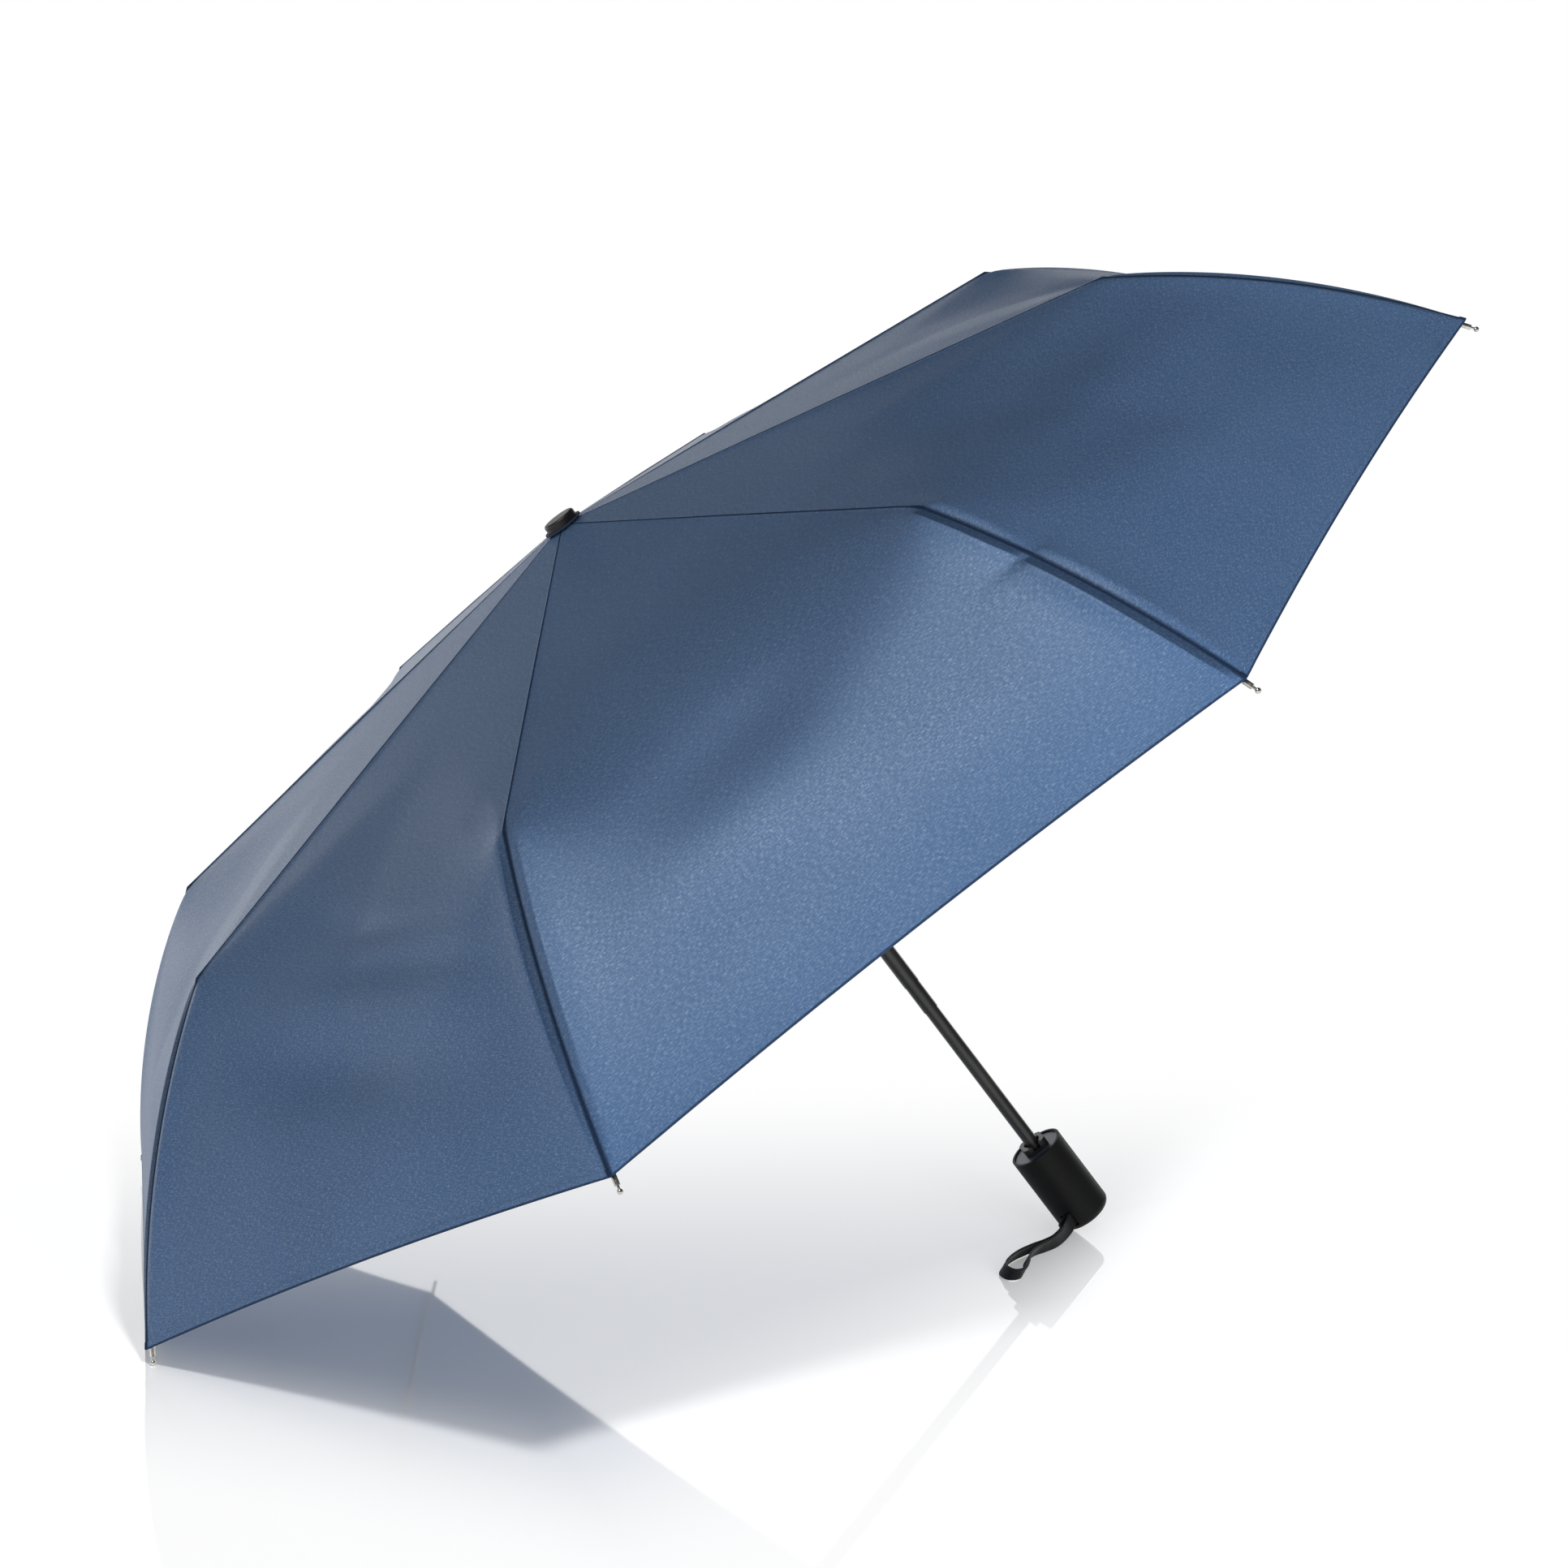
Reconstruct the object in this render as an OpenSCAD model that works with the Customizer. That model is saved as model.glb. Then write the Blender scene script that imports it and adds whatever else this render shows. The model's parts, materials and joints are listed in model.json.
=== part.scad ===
// A three-fold folding umbrella, standing open on two of its tips and the rim of its handle.
// Every piece is drawn about the shaft, with the shaft along Z and the top of the cap at zero.
// The module laid() then leans the whole umbrella onto the floor, which is Z = 0.

/* [Canopy] */
// Shaft axis to the middle of a tip's ball
tip_radius = 485; // [478:0.5:492]
// Top of the cap down to the middle of a tip's ball
tip_depth = 197; // [192:0.5:202]
// Shaft axis to the knee pivot
knee_radius = 334; // [331:0.5:337]
// Top of the cap down to the knee pivot
knee_depth = 63; // [60:0.5:66]
// How far the outer rib is bowed outward from its chord
bow = 9.5; // [8:0.5:11]
// Thickness of the cloth
cloth = 0.8; // [0.6:0.1:0.8]
// How much the cloth rounds the knee off, halfway between two ribs
knee_soft = 12; // [8:1:14]
// How far the hem lies inside the tips, halfway between two ribs
hem_in = 4; // [2:0.5:6]
// Radius of the hole where the cloth goes round the shaft
cloth_hole_r = 7.6; // [7.4:0.2:9]

/* [Ribs] */
// Crown hinge to the hinge between the top rib and the middle rib
top_rib_l = 165; // [160:0.5:168]
// Depth of the rib bars
rib_d = 3; // [2.8:0.1:3.2]
// Thickness of the top rib
top_rib_t = 2; // [1.8:0.1:2.2]
// Width of the slots that a top rib or a spring wire folds into
fork_slot = 2.6; // [2.5:0.1:2.7]
// Thickness of a cheek at each side of those slots
fork_cheek = 0.8; // [0.7:0.05:0.9]
// Radius of the spring wire of the outer rib
wire_r = 1; // [0.9:0.05:1]
// Radius of the hinge pins
pin_r = 0.6; // [0.5:0.05:0.6]
// Crown hinge to the stretcher joint on the top rib
joint_at = 65; // [62:0.5:68]
// Hinge to joint length of the stretcher
stretcher_l = 95; // [93:0.5:97]
// Radius of the ball on a tip
ball_r = 1.5; // [1.3:0.1:1.7]

/* [Shaft] */
// Top of the cap to the top of the handle
shaft_l = 483; // [478:0.5:488]
// Outside radius of the upper tube
upper_r = 5.7; // [5.6:0.05:5.8]
// Outside radius of the middle tube
middle_r = 5; // [4.95:0.05:5.05]
// Outside radius of the lower tube
lower_r = 4.3; // [4.25:0.05:4.35]
// Sliding clearance between two tubes
tube_fit = 0.1; // [0.08:0.01:0.1]
// Bottom end of the upper tube, down from the top of the cap
upper_end = 205; // [203:0.5:207]
// Bottom end of the middle tube, down from the top of the cap
middle_end = 372; // [370:0.5:374]
// Length of the narrowed end of the middle tube
neck_l = 20; // [16:1:24]

/* [Crown and runner] */
// Radius of the cap
cap_r = 10; // [9:0.5:11]
// Thickness of the cap
cap_h = 4.6; // [4.4:0.1:4.8]
// Radius of the washer under the cap
washer_r = 12; // [11:0.5:13]
// Radius of the circle of rib hinges
hinge_r = 10; // [9.9:0.05:10.1]
// Top of the cap down to the rib hinges
hinge_depth = 9.5; // [9.4:0.05:9.6]
// Radius of the two hinge wires
ring_r = 0.6; // [0.5:0.05:0.65]
// Length of the runner below its hinges
runner_l = 23; // [20:0.5:24]
// Outside radius of the runner's sleeve
runner_r = 8; // [7.8:0.1:8.2]

/* [Handle] */
// Outside radius of the handle
grip_r = 17; // [16:0.25:18]
// Length of the handle
grip_l = 55; // [53:0.5:58]
// Rounding of the handle's bottom edge
grip_round = 5; // [3:0.25:5.5]
// Width of the square collar round the shaft
collar_w = 15.5; // [14.5:0.25:16.5]
// Height of that collar
collar_h = 4.5; // [4:0.25:5]
// Width of the wrist strap
strap_w = 7.8; // [7:0.2:8.4]
// Thickness of the wrist strap
strap_t = 1.2; // [1:0.1:1.4]

/* [Hidden] */
$fn = 48;
rib_n = 8;
step = 360 / rib_n;
eye_fit = 0.05;
lane_gap = 0.3;
wall = 0.6;
washer_h = 1;
head_r = 1.2;
head_h = 0.4;
fork_t = fork_slot / 2 + fork_cheek;
// Rib line to the middle of the cloth
cloth_off = rib_d / 2 + cloth / 2 + 1;
seam_gap = 0.4;
// Tip: sleeve, neck and the part of the wire inside the sleeve, back from the ball
sleeve_from = 9.5;
sleeve_to = 3.2;
wire_to = 5;
hem_back = 7;
total_l = shaft_l + grip_l;
// Points in a rib's plane are [distance from the shaft, height], and angles are from level
c_pt = [hinge_r, -hinge_depth];
k_pt = [knee_radius, -knee_depth];
t_pt = [tip_radius, -tip_depth];
function angle_to(p, q) = atan2(q[1] - p[1], q[0] - p[0]);
function along_line(p, a, d) = [p[0] + d * cos(a), p[1] + d * sin(a)];
a1 = angle_to(c_pt, k_pt);
rib_l = norm(k_pt - c_pt);
middle_rib_l = rib_l - top_rib_l;
j_pt = along_line(c_pt, a1, top_rib_l);
p_pt = along_line(c_pt, a1, joint_at);
// The outer rib is an arc whose tangent turns from a2 at the knee to a3 at the tip
chord = norm(t_pt - k_pt);
a_chord = angle_to(k_pt, t_pt);
a_half = 2 * atan(2 * bow / chord);
a2 = a_chord + a_half;
a3 = a_chord - a_half;
bow_r = chord / 2 / sin(a_half);
o_pt = [k_pt[0] + bow_r * sin(a2), k_pt[1] - bow_r * cos(a2)];
deg_per_mm = 180 / PI / bow_r;
// Runner hinges, from the length of the stretcher
r_pt = [hinge_r, p_pt[1] - sqrt(stretcher_l * stretcher_l - pow(p_pt[0] - hinge_r, 2))];
a_s = angle_to(r_pt, p_pt);
// Lean of the shaft: the floor touches the balls of two tips and the rounded rim of the handle
s_ball = -tip_radius * cos(step / 2);
s_rim = -(grip_r - grip_round);
z_rim = -(total_l - grip_round);
d_rest = norm([s_ball - s_rim, -tip_depth - z_rim]);
lean = atan2(-tip_depth - z_rim, s_rim - s_ball) - asin((ball_r - grip_round) / d_rest);
lay_z = ball_r - (s_ball * sin(lean) - tip_depth * cos(lean));
lay_x = -tip_depth * sin(lean);
rim_x = s_rim * cos(lean) - z_rim * sin(lean) + lay_x;
function phi(i) = (i - 0.5) * step;
// A point of the umbrella's own frame, where it comes to lie
function row(p) = [p[0] * cos(lean) - p[2] * sin(lean) + lay_x, p[1], p[0] * sin(lean) + p[2] * cos(lean) + lay_z];
// Strap slot in the side of the handle, by its direction and its height above the handle's bottom
slot_dir = -132;
slot_up = 9;
// Where the strap runs in and near the slot, and how far its width leans from upright towards +X
function in_slot(r, off) = concat(
    row([r * cos(slot_dir) - off * sin(slot_dir), r * sin(slot_dir) + off * cos(slot_dir), slot_up - total_l]),
    [-lean]
);
// Where the strap lies, from the point of the handle's rim that touches the floor, and its lean
strap_loop = [
    [-9.5, -23.5, 4.5, -18],
    [-14, -31, 4.5, -5],
    [-20.5, -38, 4, 15],
    [-28.5, -44.5, 3.9, 28],
    [-38, -52, 3.9, 30],
    [-49, -63, 3.9, 30],
    [-58.5, -76.5, 3.9, 30],
    [-63.5, -89, 3.9, 30],
    [-61, -98.5, 3.9, 30],
    [-54, -96.5, 3.9, 30],
    [-48.5, -84.5, 3.9, 30],
    [-43, -68.5, 3.9, 30],
    [-34.5, -55, 3.9, 28],
    [-25.5, -46.8, 4, 15],
    [-17.5, -39.5, 4.6, -5],
    [-10.5, -30, 5.4, -18]
];
strap_route = concat(
    [in_slot(grip_r - 5.5, -1.7), in_slot(grip_r + 1.5, -1.8), in_slot(grip_r + 7, -2.4)],
    [for (p = strap_loop) p + [rim_x, 0, 0, 0]],
    [in_slot(grip_r + 7, 2.4), in_slot(grip_r + 1.5, 1.8), in_slot(grip_r - 5.5, 1.7)]
);

module laid() {
    translate([lay_x, 0, lay_z])
        rotate([0, -lean, 0])
            children();
}

// Local X along a line of a rib's plane, Y across the rib, Z away from the inside
module along(i, p, a) {
    laid()
        rotate([0, 0, phi(i)])
            translate([p[0], 0, p[1]])
                rotate([0, -a, 0])
                    children();
}

module across(x, r, half) {
    translate([x, half, 0])
        rotate([90, 0, 0])
            cylinder(r = r, h = 2 * half);
}

module bar(x0, x1, half) {
    translate([x0, -half, -rib_d / 2])
        cube([x1 - x0, 2 * half, rib_d]);
}

module tube(r_out, r_in, from, to) {
    translate([0, 0, -to])
        difference() {
            cylinder(r = r_out, h = to - from);
            translate([0, 0, -1])
                cylinder(r = r_in, h = to - from + 2);
        }
}

module ring(big, small) {
    rotate_extrude()
        translate([big, 0])
            circle(r = small);
}

// Handle: a hollow grip, a plug that holds the lower tube, and a notched collar on top
module handle_grip() {
    color("#1b1c1e")
        laid()
            difference() {
                translate([0, 0, -total_l])
                    rotate_extrude()
                        difference() {
                            union() {
                                square([grip_r - grip_round, grip_l]);
                                translate([0, grip_round])
                                    square([grip_r, grip_l - grip_round]);
                                translate([grip_r - grip_round, grip_round])
                                    circle(r = grip_round);
                            }
                            translate([-grip_r, -1])
                                square([grip_r, grip_l + 2]);
                            translate([0, 6])
                                square([grip_r - 1.6, grip_l]);
                        }
                rotate([0, 0, slot_dir])
                    translate([grip_r - 6, -4, -total_l + slot_up - 5])
                        cube([8, 8, 10]);
            }
}

module handle_plug() {
    color("#8b8f94")
        laid()
            difference() {
                translate([0, 0, -total_l + 6])
                    cylinder(r = grip_r - 1.65, h = grip_l - 6.8);
                translate([0, 0, -total_l + 12])
                    cylinder(r = lower_r + 0.02, h = grip_l);
                rotate([0, 0, slot_dir])
                    translate([grip_r - 6, -4, -total_l + slot_up - 5])
                        cube([6, 8, 10]);
            }
}

module dock_collar() {
    color("#232426")
        laid()
            translate([0, 0, -shaft_l - 0.8])
                difference() {
                    intersection() {
                        translate([-collar_w / 2, -collar_w / 2, 0])
                            cube([collar_w, collar_w, collar_h + 0.8]);
                        cylinder(r = collar_w * 0.6, h = collar_h + 0.8);
                    }
                    translate([0, 0, -1])
                        cylinder(r = lower_r + 0.02, h = collar_h + 3);
                    translate([0, 0, collar_h - 2.2])
                        cylinder(r = middle_r + 0.5, h = 4);
                    translate([-2.5, -collar_w / 2 - 1, collar_h - 2.6])
                        cube([5, collar_w + 2, 4]);
                }
}

// Shaft: three tubes, each sliding in the one above
module lower_tube() {
    color("#1a1a1b")
        laid() {
            tube(lower_r, lower_r - wall, middle_end - neck_l - 2, total_l - 12);
            tube(lower_r + 1.5 * tube_fit, lower_r - wall, middle_end - neck_l - 6, middle_end - neck_l - 1);
        }
}

module middle_tube() {
    color("#1d1d1f")
        laid() {
            tube(middle_r, lower_r + 2 * tube_fit, upper_end - 18, middle_end - neck_l);
            tube(middle_r - 0.3, lower_r + tube_fit, middle_end - neck_l, middle_end);
        }
}

module upper_tube() {
    color("#202022")
        laid()
            tube(upper_r, middle_r + tube_fit, cap_h + 0.2, upper_end);
}

// Crown: a slotted hub with a hinge wire, a washer over the cloth, and the cap
module crown_hub() {
    color("#222325")
        laid()
            difference() {
                union() {
                    translate([0, 0, -hinge_depth - 3])
                        cylinder(r = hinge_r + 2.5, h = 4.2);
                    translate([0, 0, -hinge_depth - 6])
                        cylinder(r = upper_r + 1.4, h = hinge_depth + 6 - cap_h - washer_h);
                }
                translate([0, 0, -hinge_depth - 10])
                    cylinder(r = upper_r + 0.02, h = 20);
                translate([0, 0, -hinge_depth])
                    ring(hinge_r, ring_r + 0.02);
                for (i = [1 : rib_n])
                    rotate([0, 0, phi(i)])
                        translate([hinge_r - 2, -top_rib_t / 2 - lane_gap, -hinge_depth - 4])
                            cube([8, top_rib_t + 2 * lane_gap, 8]);
            }
}

module crown_wire() {
    color("#b9bcc0")
        laid()
            translate([0, 0, -hinge_depth])
                ring(hinge_r, ring_r);
}

module crown_washer() {
    color("#3c4f70")
        laid()
            tube(washer_r, upper_r + 0.1, cap_h, cap_h + washer_h);
}

module crown_cap() {
    color("#191a1c")
        laid() {
            translate([0, 0, -cap_h])
                rotate_extrude()
                    difference() {
                        union() {
                            square([cap_r - 1.5, cap_h]);
                            square([cap_r, cap_h - 1.5]);
                            translate([cap_r - 1.5, cap_h - 1.5])
                                circle(r = 1.5);
                        }
                        translate([-cap_r, -1])
                            square([cap_r, cap_h + 2]);
                    }
            translate([0, 0, -cap_h - 11])
                cylinder(r = middle_r + tube_fit - 0.05, h = 11.5);
        }
}

// Cloth: one thin panel between each two ribs
stations = [0, 0.3, 0.6, 0.85, 1, 1.15, 1.3, 1.5, 1.75, 2];
shares = [0, 0.2, 0.4, 0.6, 0.8, 1];
n_v = len(stations);
n_u = len(shares);
cloth_from = (cloth_hole_r - c_pt[0] + cloth_off * sin(a1)) / cos(a1);
a_hem = a3 + hem_back * deg_per_mm;
a_knee = (a1 + a2) / 2;
knee_off = cloth_off / cos((a1 - a2) / 2);
// Tangent angle of the cloth at a station: 0 to 1 along the straight ribs, 1 to 2 down the outer rib
function cloth_a(v, w) = v < 1 ? a1 : v == 1 ? a_knee : a2 + (a_hem + w * hem_in * deg_per_mm - a2) * (v - 1);
function cloth_d(v) = v < 1 ? (1 - v) * rib_l : (v - 1) * chord;
function up_of(a) = [-sin(a), cos(a)];
function cloth_rib(v, w) = v < 1 ?
    along_line(c_pt, a1, cloth_from + (rib_l - cloth_from) * v) + cloth_off * up_of(a1) :
    v == 1 ? k_pt + knee_off * up_of(a_knee) : o_pt + (bow_r + cloth_off) * up_of(cloth_a(v, w));
function cloth_pt(v, w, side) = cloth_rib(v, w)
    - (w * knee_soft * exp(-pow(cloth_d(v) / 90, 2)) + side * cloth) * up_of(cloth_a(v, w))
    + cloth / 2 * up_of(cloth_a(v, w));
function gore_pt(v, u, side) = let (
    w = 4 * u * (1 - u),
    p = cloth_pt(v, w, side),
    half = p[0] * sin(step / 2) - seam_gap / 2
) [p[0] * cos(step / 2), (2 * u - 1) * half, p[1]];
gore_points = concat(
    [for (v = stations) for (u = shares) gore_pt(v, u, 0)],
    [for (v = stations) for (u = shares) gore_pt(v, u, 1)]
);
function at(j, k, side) = side * n_v * n_u + j * n_u + k;
gore_faces = concat(
    [for (j = [0 : n_v - 2]) for (k = [0 : n_u - 2]) [at(j, k, 0), at(j, k + 1, 0), at(j + 1, k, 0)]],
    [for (j = [0 : n_v - 2]) for (k = [0 : n_u - 2]) [at(j, k + 1, 0), at(j + 1, k + 1, 0), at(j + 1, k, 0)]],
    [for (j = [0 : n_v - 2]) for (k = [0 : n_u - 2]) [at(j, k, 1), at(j + 1, k, 1), at(j, k + 1, 1)]],
    [for (j = [0 : n_v - 2]) for (k = [0 : n_u - 2]) [at(j, k + 1, 1), at(j + 1, k, 1), at(j + 1, k + 1, 1)]],
    [for (j = [0 : n_v - 2]) [at(j, 0, 0), at(j + 1, 0, 0), at(j, 0, 1)]],
    [for (j = [0 : n_v - 2]) [at(j, 0, 1), at(j + 1, 0, 0), at(j + 1, 0, 1)]],
    [for (j = [0 : n_v - 2]) [at(j, n_u - 1, 0), at(j, n_u - 1, 1), at(j + 1, n_u - 1, 0)]],
    [for (j = [0 : n_v - 2]) [at(j, n_u - 1, 1), at(j + 1, n_u - 1, 1), at(j + 1, n_u - 1, 0)]],
    [for (k = [0 : n_u - 2]) [at(0, k, 0), at(0, k, 1), at(0, k + 1, 0)]],
    [for (k = [0 : n_u - 2]) [at(0, k, 1), at(0, k + 1, 1), at(0, k + 1, 0)]],
    [for (k = [0 : n_u - 2]) [at(n_v - 1, k, 0), at(n_v - 1, k + 1, 0), at(n_v - 1, k, 1)]],
    [for (k = [0 : n_u - 2]) [at(n_v - 1, k, 1), at(n_v - 1, k + 1, 0), at(n_v - 1, k + 1, 1)]]
);

module canopy() {
    color("#3f5a86")
        laid()
            for (i = [1 : rib_n])
                rotate([0, 0, i * step])
                    polyhedron(points = gore_points, faces = gore_faces, convexity = 4);
}

// Runner: a sleeve with a slotted flange, its hinge wire and its push button
button_z = r_pt[1] - 14;

module runner() {
    color("#242527")
        laid()
            difference() {
                union() {
                    translate([0, 0, r_pt[1] - 3.5])
                        cylinder(r = hinge_r + 2.5, h = 6);
                    translate([0, 0, r_pt[1] - runner_l])
                        cylinder(r = runner_r, h = runner_l);
                }
                translate([0, 0, r_pt[1] - runner_l - 1])
                    cylinder(r = upper_r + tube_fit, h = runner_l + 6);
                translate([0, 0, r_pt[1]])
                    ring(hinge_r, ring_r + 0.02);
                for (i = [1 : rib_n])
                    rotate([0, 0, phi(i)])
                        translate([hinge_r - 1.9, -top_rib_t / 2 - lane_gap, r_pt[1] - 4.5])
                            cube([8, top_rib_t + 2 * lane_gap, 8]);
                translate([upper_r + 0.8, -3.3, button_z - 4.3])
                    cube([8, 6.6, 8.6]);
            }
}

module runner_wire() {
    color("#b9bcc0")
        laid()
            translate([0, 0, r_pt[1]])
                ring(hinge_r, ring_r);
}

module runner_button() {
    color("#36383b")
        laid()
            translate([upper_r + 2.1, -3, button_z - 4])
                cube([2, 6, 8]);
}

// Rib: a flat top rib, a forked stretcher, a middle rib forked at both ends, a sprung outer rib and its tip
module top_rib(i) {
    color("#c3c6ca")
        along(i, c_pt, a1)
            difference() {
                union() {
                    bar(0, top_rib_l, top_rib_t / 2);
                    across(0, rib_d / 2, top_rib_t / 2);
                    across(top_rib_l, rib_d / 2, top_rib_t / 2);
                }
                across(0, ring_r + 2 * eye_fit, top_rib_t);
                across(joint_at, pin_r + eye_fit, top_rib_t);
                across(top_rib_l, pin_r + eye_fit, top_rib_t);
            }
}

module stretcher(i) {
    color("#b4b7bb")
        along(i, r_pt, a_s)
            difference() {
                union() {
                    across(0, rib_d / 2, top_rib_t / 2);
                    bar(0, 10, top_rib_t / 2);
                    bar(9, stretcher_l, fork_t);
                    across(stretcher_l, rib_d / 2, fork_t);
                    across(stretcher_l, head_r, fork_t + head_h);
                }
                across(0, ring_r + 2 * eye_fit, top_rib_t);
                translate([stretcher_l - 46, -fork_slot / 2, -rib_d])
                    cube([60, fork_slot, 2 * rib_d]);
            }
}

module middle_rib(i) {
    color("#bcbfc3")
        along(i, j_pt, a1) {
            difference() {
                union() {
                    bar(0, middle_rib_l, fork_t);
                    across(0, rib_d / 2, fork_t);
                    across(middle_rib_l, rib_d / 2, fork_t);
                    across(0, head_r, fork_t + head_h);
                    across(middle_rib_l, head_r, fork_t + head_h);
                }
                translate([-10, -fork_slot / 2, -rib_d])
                    cube([50, fork_slot, 2 * rib_d]);
                translate([middle_rib_l - 26, -fork_slot / 2, -rib_d])
                    cube([40, fork_slot, 2 * rib_d]);
            }
            across(0, pin_r, fork_t);
            across(middle_rib_l, pin_r, fork_t);
        }
}

module outer_rib(i) {
    color("#d3d5d8")
        laid()
            rotate([0, 0, phi(i)])
                difference() {
                    union() {
                        translate([o_pt[0], 0, o_pt[1]])
                            rotate([90, 0, 0])
                                rotate([0, 0, a3 + wire_to * deg_per_mm + 90])
                                    rotate_extrude(angle = a2 - a3 - wire_to * deg_per_mm)
                                        translate([bow_r, 0])
                                            circle(r = wire_r);
                        translate([k_pt[0], 0, k_pt[1]])
                            across(0, 1.4, wire_r);
                    }
                    translate([k_pt[0], 0, k_pt[1]])
                        across(0, pin_r + eye_fit, 2 * wire_r);
                }
}

module tip(i) {
    color("#d9dadc")
        along(i, t_pt, a3)
            rotate([0, 90, 0]) {
                difference() {
                    translate([0, 0, -sleeve_from])
                        cylinder(r = wire_r + 0.5, h = sleeve_from - sleeve_to);
                    translate([0, 0, -sleeve_from - 1])
                        cylinder(r = wire_r + eye_fit, h = sleeve_from + 1.2 - wire_to);
                }
                translate([0, 0, -sleeve_to - 0.5])
                    cylinder(r = 0.7, h = sleeve_to + 0.5);
                sphere(r = ball_r);
            }
}

// Strap: a ribbon swept along its route
n_route = len(strap_route);
function place_of(k) = [for (c = [0 : 2]) strap_route[k][c]];
function width_of(k) = [sin(strap_route[k][3]), 0, cos(strap_route[k][3])];
function side_of(k) = let (
    c = cross(place_of(min(k + 1, n_route - 1)) - place_of(max(k - 1, 0)), width_of(k))
) c / norm(c);
ribbon = [[-0.5, -0.42], [0, -0.5], [0.5, -0.42], [0.5, 0], [0.5, 0.42], [0, 0.5], [-0.5, 0.42], [-0.5, 0]];
strap_points = [
    for (k = [0 : n_route - 1])
        for (q = ribbon)
            place_of(k) + q[0] * strap_t * side_of(k) + q[1] * strap_w * width_of(k)
];
function on(k, q) = 8 * k + (q % 8);
strap_faces = concat(
    [for (k = [0 : n_route - 2]) for (q = [0 : 7]) [on(k, q), on(k + 1, q), on(k, q + 1)]],
    [for (k = [0 : n_route - 2]) for (q = [0 : 7]) [on(k, q + 1), on(k + 1, q), on(k + 1, q + 1)]],
    [for (q = [2 : 7]) [on(0, 1), on(0, q), on(0, q + 1)]],
    [for (q = [2 : 7]) [on(n_route - 1, 1), on(n_route - 1, q + 1), on(n_route - 1, q)]]
);

module wrist_strap() {
    color("#151517")
        polyhedron(points = strap_points, faces = strap_faces, convexity = 6);
}

handle_grip();
handle_plug();
dock_collar();
wrist_strap();
lower_tube();
middle_tube();
upper_tube();
crown_hub();
crown_wire();
crown_washer();
crown_cap();
canopy();
runner();
runner_wire();
runner_button();
for (i = [1 : rib_n]) {
    top_rib(i);
    stretcher(i);
    middle_rib(i);
    outer_rib(i);
    tip(i);
}
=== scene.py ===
# %% [markdown]
# # A folding umbrella, open and set down on a white floor
#
# The object is a three-section folding umbrella: eight jointed ribs, a navy cloth cover, a black
# shaft of three tubes, a short round handle and a flat ribbon loop for the wrist.
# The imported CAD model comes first, because every piece made here is placed by its pivots.
# Everything is in metres, in the frame of that model.

# %% Load the frame
import json
import math

import bpy
from mathutils import Matrix, Vector


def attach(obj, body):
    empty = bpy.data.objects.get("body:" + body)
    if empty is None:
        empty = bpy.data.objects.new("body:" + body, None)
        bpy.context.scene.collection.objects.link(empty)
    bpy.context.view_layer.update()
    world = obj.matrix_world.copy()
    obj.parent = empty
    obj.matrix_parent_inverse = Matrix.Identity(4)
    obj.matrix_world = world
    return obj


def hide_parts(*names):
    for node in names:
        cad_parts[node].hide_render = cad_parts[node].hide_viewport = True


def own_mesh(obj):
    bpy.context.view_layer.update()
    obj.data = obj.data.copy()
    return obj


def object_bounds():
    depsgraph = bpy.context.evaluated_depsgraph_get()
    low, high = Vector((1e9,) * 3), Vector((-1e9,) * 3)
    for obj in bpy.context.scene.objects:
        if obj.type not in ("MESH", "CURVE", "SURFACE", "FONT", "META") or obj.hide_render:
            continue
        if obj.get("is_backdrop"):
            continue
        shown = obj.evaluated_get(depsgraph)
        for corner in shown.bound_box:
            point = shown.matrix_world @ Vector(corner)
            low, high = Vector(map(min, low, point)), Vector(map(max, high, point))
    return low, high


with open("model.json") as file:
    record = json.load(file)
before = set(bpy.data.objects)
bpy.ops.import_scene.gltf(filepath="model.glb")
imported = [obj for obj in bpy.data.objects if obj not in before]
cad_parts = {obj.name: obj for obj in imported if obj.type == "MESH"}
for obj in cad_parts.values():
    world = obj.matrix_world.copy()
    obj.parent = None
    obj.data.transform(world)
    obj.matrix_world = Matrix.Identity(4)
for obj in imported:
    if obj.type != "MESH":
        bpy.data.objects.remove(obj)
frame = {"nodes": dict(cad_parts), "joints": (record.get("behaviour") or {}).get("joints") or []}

cad_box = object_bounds()
nodes = frame["nodes"]
joints = {joint["name"]: joint for joint in frame["joints"]}

# %% [markdown]
# ## The camera
#
# The photograph was taken with a long lens from a little above the canopy's middle.
# The camera's place and turn were solved from the rib tips, the knees and the handle in the picture.
# Turning a camera by three plain angles keeps the numbers readable: yaw swings it from +Y towards +X,
# pitch tips it down, and roll leans the frame. The lens is written in pixels and turned into millimetres.

# %% Set the camera
IMAGE_SIDE = 1932
FOCAL_PIXELS = 4098.85
SENSOR_MM = 36.0
camera_place = Vector((-0.3645, -1.894, 0.5853))
camera_yaw, camera_pitch, camera_roll = 0.1976, 0.1584, 0.0236


def camera_axes(yaw, pitch, roll):
    """Right, up and forward of a camera that starts out looking along +Y."""
    level_part = math.cos(pitch)
    forward = Vector((math.sin(yaw) * level_part, math.cos(yaw) * level_part, -math.sin(pitch)))
    level = Vector((math.cos(yaw), -math.sin(yaw), 0))
    right = level * math.cos(roll) + level.cross(forward) * math.sin(roll)
    return right, right.cross(forward), forward


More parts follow.
